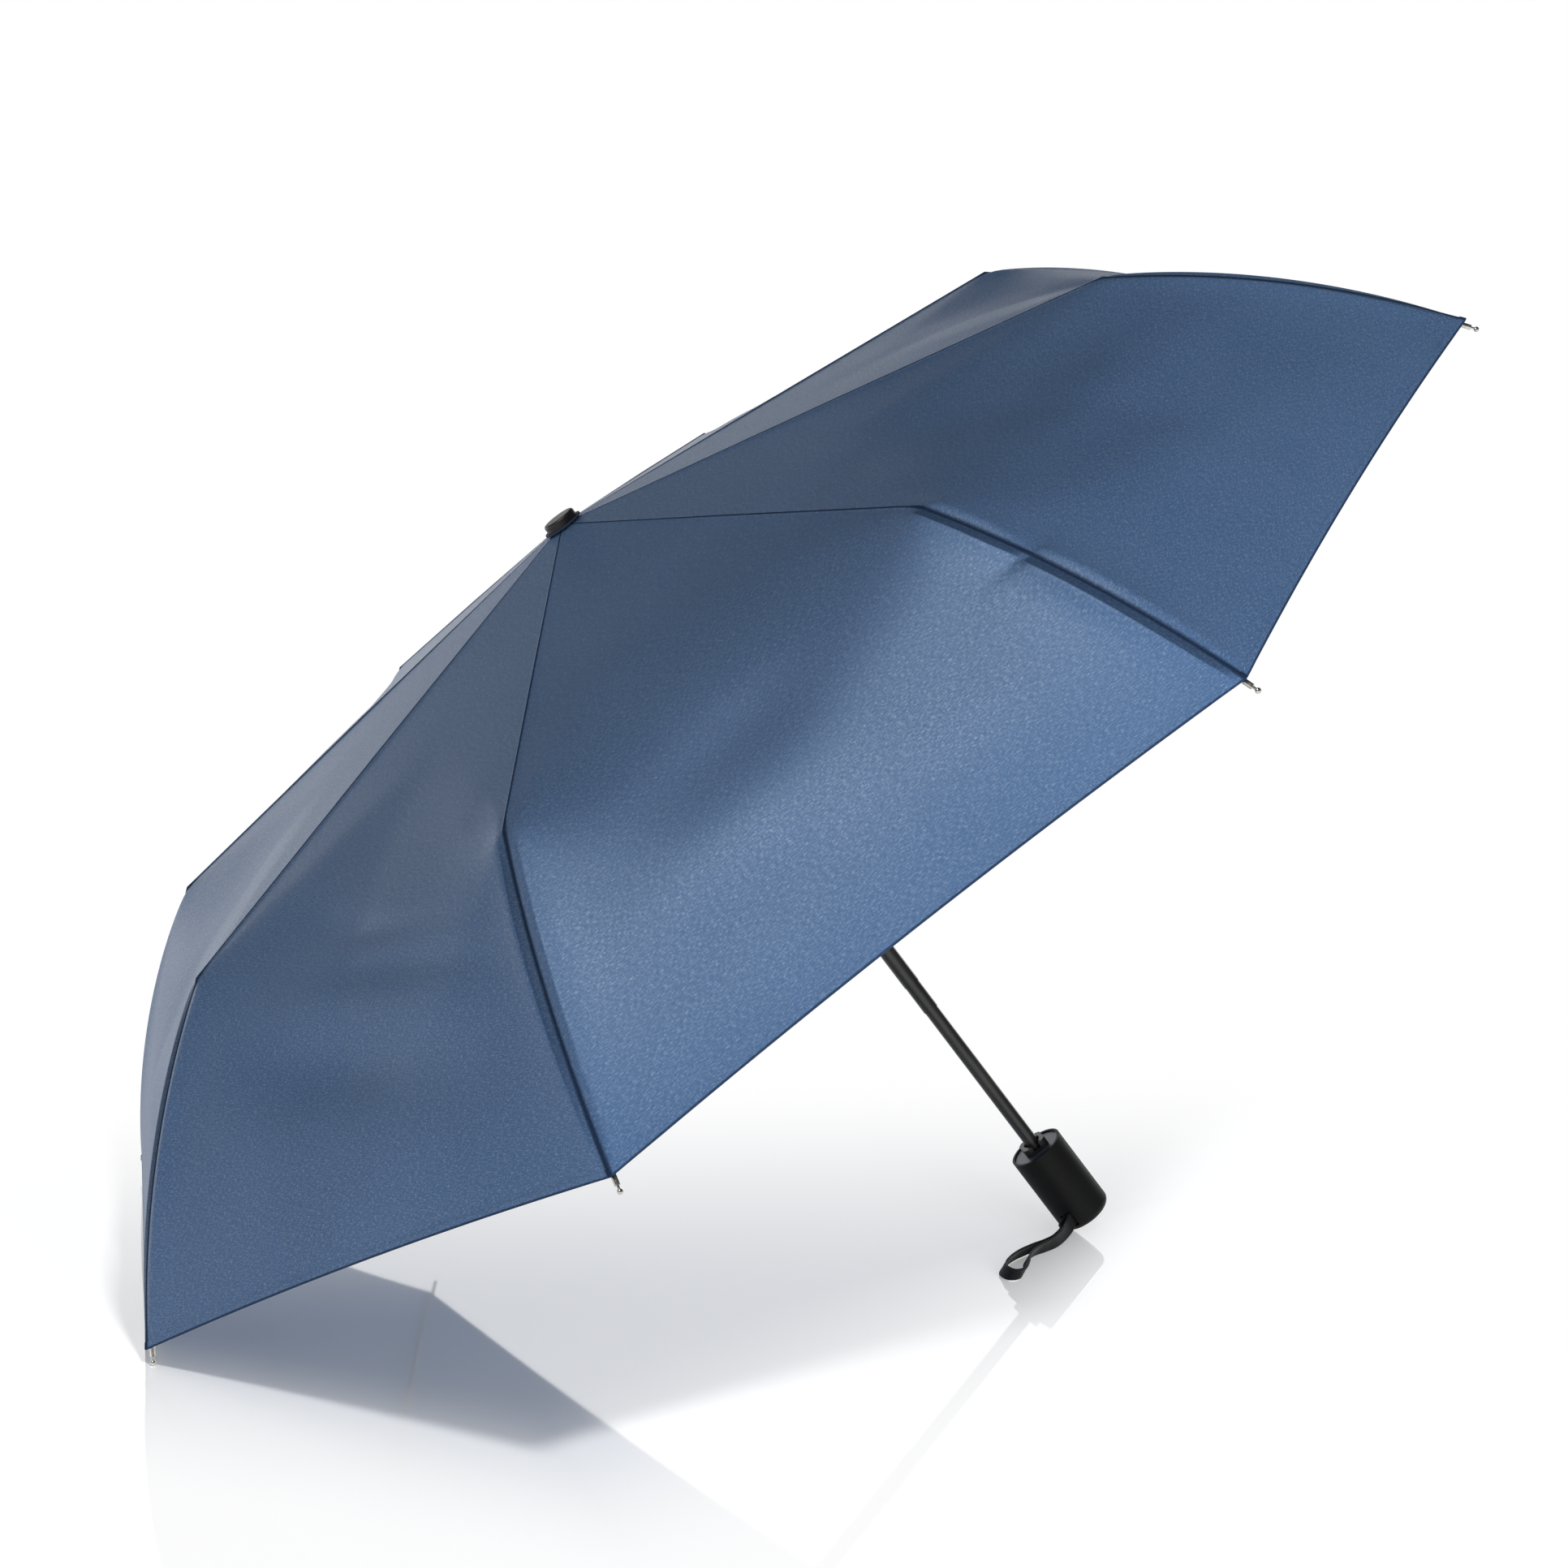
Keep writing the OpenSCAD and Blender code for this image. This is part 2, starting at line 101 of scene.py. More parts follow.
right, up, forward = camera_axes(camera_yaw, camera_pitch, camera_roll)
camera_data = bpy.data.cameras.new("camera")
camera_data.sensor_width = SENSOR_MM
camera_data.lens = FOCAL_PIXELS * SENSOR_MM / IMAGE_SIDE
camera = bpy.data.objects.new("camera", camera_data)
bpy.context.scene.collection.objects.link(camera)
camera_turn = Matrix((right, up, -forward)).transposed().to_4x4()
camera.matrix_world = Matrix.Translation(camera_place) @ camera_turn
bpy.context.scene.camera = camera
print("camera: lens", round(camera_data.lens, 2), "mm at", [round(c, 3) for c in camera_place])

# %% [markdown]
# ## The umbrella's own axes
#
# The umbrella leans, so its parts are easier to place along the shaft than along the floor.
# The hinge pivots of the eight top ribs lie on one circle at the crown, and the stretchers' pivots lie
# on another circle at the runner. The two centres give the direction of the shaft. It could be typed
# in as three numbers, but read from the pivots it stays right when the model changes.

# %% Find the shaft and the ribs
RIBS = 8
HALF_STEP = math.pi / RIBS


def pivot(name):
    """The place of a hinge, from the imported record."""
    return Vector(joints[name]["pos_m"])


def middle(points):
    """The mean of some points."""
    return sum(points, Vector((0, 0, 0))) / len(points)


rib_numbers = range(1, RIBS + 1)
crown = middle([pivot(f"top_rib_{i}_hinge") for i in rib_numbers])
runner_ring = middle([pivot(f"stretcher_{i}_hinge") for i in rib_numbers])
shaft_up = (crown - runner_ring).normalized()
rib_out = {i: (pivot(f"top_rib_{i}_hinge") - crown).normalized() for i in rib_numbers}


def next_rib(i, steps=1):
    """The number of the rib that many steps further round."""
    return (i - 1 + steps) % RIBS + 1


gore_out = {i: (rib_out[i] + rib_out[next_rib(i)]).normalized() for i in rib_numbers}
print("shaft leans", round(math.degrees(shaft_up.angle(Vector((0, 0, 1)))), 2), "degrees")

# %% [markdown]
# ## The line that the cloth follows
#
# Seen from the side, the cloth runs straight from the crown to the knee of a rib and then bends down
# in a shallow arc to the tip. Between two ribs it is pulled straight across, rounds the knees in a
# wide curve and is cut hollow at the hem.
# A few sizes describe it all, so it is a formula and not a sculpted mesh. Points of this line are
# pairs: how far out from the shaft, and how high above the crown's pivots.

# %% Draw the cloth's profile
TIP_OUT, TIP_DOWN = 0.485, 0.1875
RIB_BOW = 0.0095
CLOTH_RISE = 0.0029
CLOTH_HOLE = 0.0076
KNEE_REACH = 0.125
HEM_BACK, HEM_HOLLOW = 0.007, 0.004


def side_view(point, i):
    """A point of the frame as seen beside rib i: out from the shaft, and above the crown."""
    return Vector(((point - crown).dot(rib_out[i]), (point - crown).dot(shaft_up)))


def along(angle):
    """One step in the direction of an angle."""
    return Vector((math.cos(angle), math.sin(angle)))


def above(angle):
    """One step square to that direction, on the cloth's side."""
    return Vector((-math.sin(angle), math.cos(angle)))


rib_parts = ("top_rib", "middle_rib", "outer_rib")
hinge_2d, fold_2d, knee_2d = (side_view(pivot(f"{part}_1_hinge"), 1) for part in rib_parts)
tip_2d = Vector((TIP_OUT, -TIP_DOWN))
inner_angle = math.atan2(*reversed(knee_2d - hinge_2d))
inner_length = (knee_2d - hinge_2d).length
chord = (tip_2d - knee_2d).length
half_bend = 2 * math.atan(2 * RIB_BOW / chord)
bow_radius = chord / 2 / math.sin(half_bend)
knee_angle = math.atan2(*reversed(tip_2d - knee_2d)) + half_bend
bow_centre = knee_2d - above(knee_angle) * bow_radius
hem_angle = knee_angle - 2 * half_bend + HEM_BACK / bow_radius
knee_middle, knee_turn = (inner_angle + knee_angle) / 2, inner_angle - knee_angle
cloth_start = (CLOTH_HOLE - hinge_2d.x + CLOTH_RISE * math.sin(inner_angle)) / math.cos(inner_angle)
outer_length = (knee_angle - hem_angle) * (bow_radius + CLOTH_RISE)


def cloth_line(v, slack):
    """The cloth's place and slope. v is 0 at the crown, 1 at the knee and 2 at the hem;
    slack is 0 on a rib and 1 half way to the next one, where the bend is a wide curve."""
    if v <= 1:
        slope = inner_angle
        run = cloth_start + (inner_length - cloth_start) * v
        place = hinge_2d + along(slope) * run + above(slope) * CLOTH_RISE
        from_knee = (1 - v) * (inner_length - cloth_start)
    else:
        end = hem_angle + slack * HEM_HOLLOW / bow_radius
        slope = knee_angle + (end - knee_angle) * (v - 1)
        place = bow_centre + above(slope) * (bow_radius + CLOTH_RISE)
        from_knee = (v - 1) * outer_length
    if v == 1:
        slope = knee_middle
        place = knee_2d + above(slope) * (CLOTH_RISE / math.cos(knee_turn / 2))
    reach = max(slack * KNEE_REACH, 1e-6)
    if from_knee < reach:
        sink = math.sin(knee_turn / 2) * (reach - from_knee) ** 2 / (2 * reach)
        place = place - above(knee_middle) * sink
        slope += (knee_middle - slope) * (1 - from_knee / reach)
    return place, slope


print("cloth: straight part", round(inner_length, 4), "m, bowed part", round(outer_length, 4), "m")

# %% [markdown]
# ## Folds and ripples
#
# A cover is never quite smooth. From the crown to the knee the sewn seam stands up as a fine ridge.
# Along the outer half of each rib the seam is held down on the rib and the slack cloth beside it
# stands up in two soft lips. On the rib that points to the right a tie pinches them together part of
# the way down, and the gore before that rib is slacker than the others. The gore next to it hangs in
# a few soft sags that run level.
# Short creases pull away from the knees, and the gores keep faint waves from lying folded.
# The lips could be painted on, but they throw a dark shadow into the groove between them and show in
# the outline, so they are real geometry: one cross-section that grows and fades along the rib. The
# cloth's finish paints extra shade into that groove as well.

# %% Shape the folds
FLAT_STEPS = [0, 0.0004, 0.0009, 0.0016, 0.0026, 0.0038, 0.0052, 0.0070, 0.0100, 0.0150]
LIP_REACH = [0, 0.0005, 0.0014, 0.0028, 0.0044, 0.0060, 0.0070, 0.0080, 0.0110, 0.0170]
LIP_RISE = [-0.0006, 0.0000, 0.0007, 0.0017, 0.0028, 0.0039, 0.0044, 0.0043, 0.0034, 0.0019]
LIP_FADE, LIP_ROUND = 0.009, 0.6
SEAM_RISE, SEAM_YIELD = [0.0008, 0.0006, 0.0001], 3
TIED_RIB, TIE_AT, TIE_SLACK = 7, 0.36, 0.12
KNEE_LIP, TIP_LIP, LOOSE_LIP = 1.05, 1.15, 0.90
KNEE_PEAK, TIP_PEAK, LOOSE_PEAK = 0.80, 0.55, 0.70
KNEE_RUN, TIP_RUN = 0.05, 0.04
SLACK_GORE, TIGHT_SHARE = 6, 0.58
CREST, FAR_SHADE = 6, 0.12
WAVE_HEIGHT = 0.0016
WAVE_START, WAVE_SHIFT, WAVE_FADE = 0.45, 2.4, 1.5
LONG_WAVE, SHORT_WAVE = (7.5, 5.0), (12.5, 7.0)
SHORT_SHARE, SHORT_SHIFT = 0.6, 1.7
CREASE_DEPTH, CREASE_WIDTH = 0.0011, 0.016
SAG_GORE, SAG_TILT, SAG_SPREAD = 5, 0.42, 0.32
SAG_CALM, SAG_HEM = 0.4, 0.15
SAGS = [(1.46, 0.13, -0.0068, 0.50), (1.17, 0.055, -0.0026, 0.66), (1.04, 0.045, -0.0024, 0.42)]
PULL_TURN, PULL_FROM, PULL_TO = math.radians(40), 0.012, 0.060
PULL_DEPTH, PULL_WIDTH = 0.0010, 0.0042
PULL_MEAN, PULL_SWING, PULL_SHIFT = 0.6, 0.4, 2.1
PULL_AFTER, PULL_BEFORE = 0.9, 2.6


def lens(share, peak):
    """A swelling that starts and ends at nothing; it is fullest early where peak is small."""
    return math.sin(math.pi * min(1, max(0, share)) ** peak) ** LIP_ROUND


def lip_size(rib, gore, v):
    """How far a lip beside a seam stands up: nothing at the knee and the tip, and most in the slack
    gore. The tie of one rib is pulled tight."""
    share = v - 1
    if not 0 < share < 1:
        return 0
    side = 1 if gore == SLACK_GORE else TIGHT_SHARE
    if rib != TIED_RIB:
        return side * LOOSE_LIP * lens(share, LOOSE_PEAK)
    ends = min(1, share / KNEE_RUN, (1 - share) / TIP_RUN)
    if share < TIE_AT:
        swell = KNEE_LIP * lens(share / TIE_AT, KNEE_PEAK)
    else:
        swell = TIP_LIP * lens((share - TIE_AT) / (1 - TIE_AT), TIP_PEAK)
    return side * max(TIE_SLACK * ends, swell)


def pull(rib, column, reach, up_from_knee):
    """The depth of the short crease that runs from a knee into the gore, above the knee."""
    outward = reach * math.sin(PULL_TURN) + up_from_knee * math.cos(PULL_TURN)
    aside = (reach * math.cos(PULL_TURN) - up_from_knee * math.sin(PULL_TURN)) / PULL_WIDTH
    if not PULL_FROM < outward < PULL_TO:
        return 0
    shift = PULL_SHIFT * rib + (PULL_AFTER if column > 0 else PULL_BEFORE)
    strength = PULL_MEAN + PULL_SWING * math.sin(shift)
    run = math.sin(math.pi * (outward - PULL_FROM) / (PULL_TO - PULL_FROM)) ** 2
    return PULL_DEPTH * strength * run * math.exp(-aside * aside)


def sag(across, v):
    """The height of the soft level sags in the gore that hangs most; each is a place, a width, a
    height and the share across at which it is fullest."""
    level = v - SAG_TILT * (across - 0.5)
    total = 0
    for place, width, height, fullest in SAGS:
        aside = (across - fullest) / SAG_SPREAD
        total += height * math.exp(-(((level - place) / width) ** 2) - aside * aside)
    return total * 4 * across * (1 - across) * min(1, max(0, (2 - v) / SAG_HEM))


def ripple(gore, across, v, half_width):
    """The height of the faint waves, the same seen from either rib of a gore; across runs from 0 to 1.
    One shallow crease runs down the middle, and the gore that hangs most has sags as well."""
    slack = 4 * across * (1 - across)
    run = min(1, max(0, (v - WAVE_START) / (2 - WAVE_START)))
    fade = slack * slack * max(0, math.sin(math.pi * run)) ** WAVE_FADE
    turn = 1 if gore % 2 else -1
    phase = WAVE_SHIFT * gore
    long = LONG_WAVE[0] * v + turn * LONG_WAVE[1] * (across - 0.5) + phase
    short = SHORT_WAVE[0] * v - turn * SHORT_WAVE[1] * across + SHORT_SHIFT * phase
    waves = math.sin(long) + SHORT_SHARE * math.sin(short)
    off_centre = (across - 0.5) * 2 * half_width / CREASE_WIDTH
    height = fade * (WAVE_HEIGHT * waves - CREASE_DEPTH * math.exp(-off_centre * off_centre))
    if gore == SAG_GORE:
        height = height * SAG_CALM + sag(across, v)
    return height


print("fold: lips stand", round(max(LIP_RISE) * TIP_LIP * 1000, 1), "mm high at most")

# %% [markdown]
# ## The canopy as one grid
#
# Eight gores made one by one would show a break in the light at each seam. So the whole cover is worked
# out as a single grid that runs round all eight ribs, and its shading is continuous everywhere.
# Columns are set close together beside each seam, where the folds are, and wide apart in the middle of
# a gore. Rows follow the cloth line from the crown to the hem. They run further out in mid gore than on
# a rib, as a pleat does, so that the folded cover has no spikes.

# %% Work out the grid
COLUMNS = 24
INNER_ROWS, FOLD_ROWS, OUTER_ROWS = 12, 14, 44
HEM_ROWS = [0.0052, 0.0042, 0.0037, 0.0012, 0.0004]
CLOTH_HALF = 0.00025
HEM_HALF, HEM_WIDTH, HEM_EDGE = 0.00070, 0.0040, 0.55
KNEE_OUT = 1.20

straight = inner_length - cloth_start
fold_share = ((fold_2d - hinge_2d).length - cloth_start) / straight
fold_out = fold_share + fold_2d.x * math.tan(HALF_STEP) ** 2 / (math.cos(inner_angle) * straight)
hem_rows = [2 - back / outer_length for back in HEM_ROWS]


def spread(first, last, count):
    """Pairs from one pair up to the next one, without the last: a row's v on a rib and in mid gore."""
    return [tuple(a + (b - a) * k / count for a, b in zip(first, last)) for k in range(count)]


rows = spread((0, 0), (fold_share, fold_out), INNER_ROWS)
rows += spread((fold_share, fold_out), (1, KNEE_OUT), FOLD_ROWS)
rows += spread((1, KNEE_OUT), (hem_rows[0], hem_rows[0]), OUTER_ROWS)
rows += [(v, v) for v in hem_rows + [2]]
row_fold, row_knee = INNER_ROWS, INNER_ROWS + FOLD_ROWS


def row_place(row, column):
    """A row's v at one column."""
    last = len(FLAT_STEPS) - 1
    step = abs(column)
    first = FLAT_STEPS[-1] / (knee_2d.x * math.sin(HALF_STEP))
    if step <= last:
        share = first * FLAT_STEPS[step] / FLAT_STEPS[-1]
    else:
        share = first + (1 - first) * (step - last) / (COLUMNS - last)
    on_rib, mid_gore = rows[row]
    return on_rib + (mid_gore - on_rib) * share


def cloth_point(rib, column, v):
    """One grid point: its place, its distance from the seam, its place across the weave, its v, and how
    much painted shade it gets on a lip's wall, full on the gore before the rib and faint on the other.
    Columns count from the rib: negative ones lie in the gore before it."""
    step = abs(column)
    gore = rib if column >= 0 else next_rib(rib, -1)
    plain, _ = cloth_line(v, 0)
    half_width = plain.x * math.sin(HALF_STEP)
    lip = lip_size(rib, gore, v)
    last = len(FLAT_STEPS) - 1
    near = [
        min(flat_step + (lip_step - flat_step) * min(1, lip), half_width * k / COLUMNS)
        for k, (flat_step, lip_step) in enumerate(zip(FLAT_STEPS, LIP_REACH))
    ]
    if step <= last:
        reach, rise = near[step], LIP_RISE[step] * lip
    else:
        reach = near[last] + (half_width - near[last]) * (step - last) / (COLUMNS - last)
        rise = LIP_RISE[last] * lip * math.exp((near[last] - reach) / LIP_FADE)
    if step < len(SEAM_RISE):
        rise += SEAM_RISE[step] * max(0, 1 - SEAM_YIELD * lip) * min(1, v / fold_share)
    share = reach / half_width
    place, slope = cloth_line(v, share * (2 - share))
    half_width = place.x * math.sin(HALF_STEP)
    outward = gore_out[gore] if step else rib_out[rib]
    if step == 0:
        flat = outward * place.x
    else:
        side = half_width * (1 - share) * (-1 if column > 0 else 1)
        flat = outward * (place.x * math.cos(HALF_STEP)) + shaft_up.cross(outward) * side
        across = share / 2 if column > 0 else 1 - share / 2
        rise += ripple(gore, across, v, half_width)
        if v < 1:
            rise -= pull(rib, column, reach, (1 - v) * inner_length)
    lift = outward * -math.sin(slope) + shaft_up * math.cos(slope)
    # Painted shade on the lip's wall up to its crest: full on the gore before the rib, whose wall turns
    # away from the front light, and faint on the other.
    fold = 0
    if step < CREST:
        fold = min(1, lip) * (1 if column < 0 else FAR_SHADE)
    point = crown + flat + shaft_up * place.y + lift * rise
    return point, reach, half_width * (1 - share), v, fold


ring = [(rib, column) for rib in rib_numbers for column in range(-COLUMNS, COLUMNS)]
grid = []
for r in range(len(rows)):
    grid.append([cloth_point(rib, column, row_place(r, column)) for rib, column in ring])


def grid_normal(r, c):
    """The cloth's outward direction at a grid point, from its four neighbours."""
    over = grid[r][(c + 1) % len(ring)][0] - grid[r][c - 1][0]
    down = grid[min(r + 1, len(rows) - 1)][c][0] - grid[max(r - 1, 0)][c][0]
    return down.cross(over).normalized()


normals = [[grid_normal(r, c) for c in range(len(ring))] for r in range(len(rows))]
print("canopy grid:", len(rows), "rows of", len(ring))

# %% [markdown]
# ## Shader arithmetic
#
# Finishes are built from nodes. Writing them as sums and products in Python is easier to read than
# adding Math nodes one at a time, so one small class stands for a socket: arithmetic on it adds the
# nodes, and its `node` method makes any other kind.

# %% A socket that does sums


class Tap:
    """A socket of a finish. Sums and products on it add Math nodes to its tree."""

    def __init__(self, tree, socket=None):
        self.tree = tree
        self.socket = socket

    def node(self, kind, settings=None, sockets=None, out=0):
        """Adds a node: its settings are set first, then the values or links of its sockets."""
        made = self.tree.nodes.new(kind)
        for name, value in (settings or {}).items():
            setattr(made, name, value)
        for name, value in (sockets or {}).items():
            if isinstance(value, Tap):
                self.tree.links.new(value.socket, made.inputs[name])
            else:
                made.inputs[name].default_value = value
        return Tap(self.tree, made.outputs[out])

    def math(self, operation, a, b=0.0):
        return self.node("ShaderNodeMath", {"operation": operation}, {0: a, 1: b})

    def __add__(self, other):
        return self.math("ADD", self, other)

    def __sub__(self, other):
        return self.math("SUBTRACT", self, other)

    def __rsub__(self, other):
        return self.math("SUBTRACT", other, self)

    def __mul__(self, other):
        return self.math("MULTIPLY", self, other)

    def __pow__(self, other):
        return self.math("POWER", self, other)

    __radd__ = __add__
    __rmul__ = __mul__

    def between(self, low, high):
        """0 below low and 1 above high, with a soft step between them."""
        return self.node(
            "ShaderNodeMapRange",
            {"interpolation_type": "SMOOTHSTEP"},
            {"Value": self, "From Min": low, "From Max": high},
        )

    def tint(self, dark, light):
        """A colour that goes from dark to light as the value goes from 0 to 1."""
        return self.blend(self, (*dark, 1), (*light, 1))

    def blend(self, share, first, second):
        """A colour between two, with a share of the second from 0 to 1."""
        colours = {"Factor": share, 6: first, 7: second}
        return self.node("ShaderNodeMix", {"data_type": "RGBA"}, colours, out=2)

    def noise(self, place, scale, detail=3.0, roughness=0.5):
        """Soft clouds of values round a half, at a place."""
        values = {"Vector": place, "Scale": scale, "Detail": detail, "Roughness": roughness}
        return self.node("ShaderNodeTexNoise", None, values)

    def stretched(self, place, factors):
        """A place stretched by a factor for each axis."""
        return self.node("ShaderNodeVectorMath", {"operation": "MULTIPLY"}, {0: place, 1: factors})


print("socket class: ready")

# %% [markdown]
# ## One way to start a finish
#
# Every finish is a Principled shader. What is the same all over the surface is set on the shader's own
# socket, and what changes over it is linked: colour, roughness and a bump for the normal.
# A finish that turns dull in places gives a share called matt as well, which mixes in a second shader
# of the same colour with no gloss. Varying the gloss itself would get lost when the model is exported.

# %% Start a finish


def finish(name, build, **constants):
    """A material called name; build(tap) gives the linked sockets, and constants set the others."""
    material = bpy.data.materials.new(name)
    material.use_nodes = True
    tree = material.node_tree
    shader = tree.nodes["Principled BSDF"]
    for socket, value in constants.items():
        shader.inputs[socket.replace("_", " ")].default_value = value
    tap = Tap(tree)
    links = build(tap)
    matt = links.pop("matt", None)
    for socket, value in links.items():
        tree.links.new(value.socket, shader.inputs[socket])
    if matt:
        dull = {"Base Color": links["Base Color"], "Roughness": 1, "Specular IOR Level": 0}
        plain = tap.node("ShaderNodeBsdfPrincipled", None, dull)
        glossy = Tap(tree, shader.outputs[0])
        mixed = tap.node("ShaderNodeMixShader", None, {0: matt, 1: glossy, 2: plain})
        tree.links.new(mixed.socket, tree.nodes["Material Output"].inputs["Surface"])
    return material


def bumped(tap, height, depth, strength=1.0):
    """A normal that follows a height from 0 to 1, standing depth metres high."""
    return tap.node("ShaderNodeBump", None, {"Height": height, "Distance": depth, "Strength": strength})


def object_place(tap):
    """The place on the surface, in metres."""
    return tap.node("ShaderNodeTexCoord", None, None, out=3)


print("finishes: ready to build")

# %% [markdown]
# ## The cloth's finish
#
# The cover is a tightly woven navy cloth with a soft sheen. Close up, slubby threads show as short
# light flecks that run both ways, along the hem of each gore and towards the crown. Their pale colour
# is partly the yarn's own tone and partly a painted glint of shiny threads that catch the light.
# A wave pattern would give stripes that are too even, so each way is a stretched noise. It is drawn in
# the cloth's own flat coordinates, kept in a UV layer in metres, so the flecks turn with each gore.
# Three more layers say how far a point is from the seam and from the hem, and how much painted shade
# the wall of a lip gets. Painted shade darkens the seam, the groove beside it and the lip's wall, and a
# thin darker band runs along the hem. There the cloth is matt too, so the painted shade takes no sheen.

# %% Navy cloth
NAVY_DEEP, NAVY = (0.053, 0.124, 0.272), (0.118, 0.222, 0.424)
# The pale fleck colour is partly yarn and partly painted glint. The darkest navy is painted shade at the
# seam, in its groove and on the lip walls, and it also colours the thin darker band along the hem.
SLUB_AND_GLINT, SHADE_AND_HEM_NAVY = (0.330, 0.420, 0.560), (0.010, 0.020, 0.050)
ALONG, ACROSS = 370, 2000
SEAM_SHADE, HEM_SHADE, FOLD_SHADE = 0.90, 0.75, 0.55


def navy_cloth(tap):
    flat = tap.node("ShaderNodeUVMap", {"uv_map": "weave"})
    weft = tap.noise(tap.stretched(flat, (ALONG, ACROSS, 1)), 1, 2, 0.6)
    warp = tap.noise(tap.stretched(flat, (ACROSS, ALONG, 1)), 1, 2, 0.6)
    broad = tap.noise(flat, 9, 3, 0.55)
    threads = weft.between(0.32, 0.68) * 0.45 + warp.between(0.32, 0.68) * 0.35
    worn = threads + broad.between(0.3, 0.7) * 0.20
    # The fleck mask: pale flecks that are partly the yarn's tone and partly painted glint, and glossier.
    slub_and_glint = tap.math("MAXIMUM", weft.between(0.55, 0.69), warp.between(0.57, 0.71) * 0.65)
    seam = tap.node("ShaderNodeAttribute", {"attribute_name": "from_seam"}, None, out=2)
    hem = tap.node("ShaderNodeAttribute", {"attribute_name": "from_hem"}, None, out=2)
    fold = tap.node("ShaderNodeAttribute", {"attribute_name": "painted_fold_shade"}, None, out=2)
    # Painted shade: darker at the seam and in the groove beside it, and on the lip walls in the fold. A
    # thin darker band runs along the hem. The same share turns the cloth matt in those places.
    edge = (1 - seam.between(0.0004, 0.0028)) * SEAM_SHADE
    band = (1 - hem.between(0.0007, 0.0013)) * HEM_SHADE
    groove = fold.between(0.05, 0.5) * FOLD_SHADE
    shade = tap.math("MAXIMUM", tap.math("MAXIMUM", edge, band), groove)
    cloth = tap.blend(slub_and_glint * 0.6, worn.tint(NAVY_DEEP, NAVY), (*SLUB_AND_GLINT, 1))
    height = weft * 0.5 + warp * 0.5
    return {
        "Base Color": tap.blend(shade, cloth, (*SHADE_AND_HEM_NAVY, 1)),
        "Roughness": 0.47 - slub_and_glint * 0.20,
        "Normal": bumped(tap, height, 0.00006, 0.6),
        "matt": shade,
    }


cloth_finish = finish(
    "navy_cloth", navy_cloth, Specular_IOR_Level=0.42, Specular_Tint=(0.72, 0.86, 1, 1)
)
print("made", cloth_finish.name)

# %% [markdown]
# ## The canopy's pieces
#
# The real cover is sewn from eight gores and folds with its ribs, three sections to a rib.
# One fixed dome could not fold, so the grid is cut into strips: each lies over one section of one rib
# and rides on that section.
# The strips share edges and normals, so that the open cover reads as one sheet.

# %% Cut and thicken the cover
UPPER_SEAM = 3.0
sections = {
    "top_rib": (0, row_fold),
    "middle_rib": (row_fold, row_knee),
    "outer_rib": (row_knee, len(rows) - 1),
}


def new_object(name, points, faces):
    """An object in the scene, with a mesh of its own."""
    mesh = bpy.data.meshes.new(name)
    mesh.from_pydata(points, [], faces)
    made = bpy.data.objects.new(name, mesh)
    bpy.context.scene.collection.objects.link(made)
    return made


def half_thickness(v):
    """Half the cloth's thickness: one layer, or the turned hem with its rounded edge."""
    from_hem = (2 - v) * outer_length
    if from_hem > HEM_WIDTH:
        return CLOTH_HALF
    return HEM_HALF * (HEM_EDGE if from_hem < HEM_ROWS[-1] / 2 else 1)


def run_length(v):
    """Distance along the cloth from the crown."""
    return v * inner_length if v < 1 else inner_length + (v - 1) * outer_length


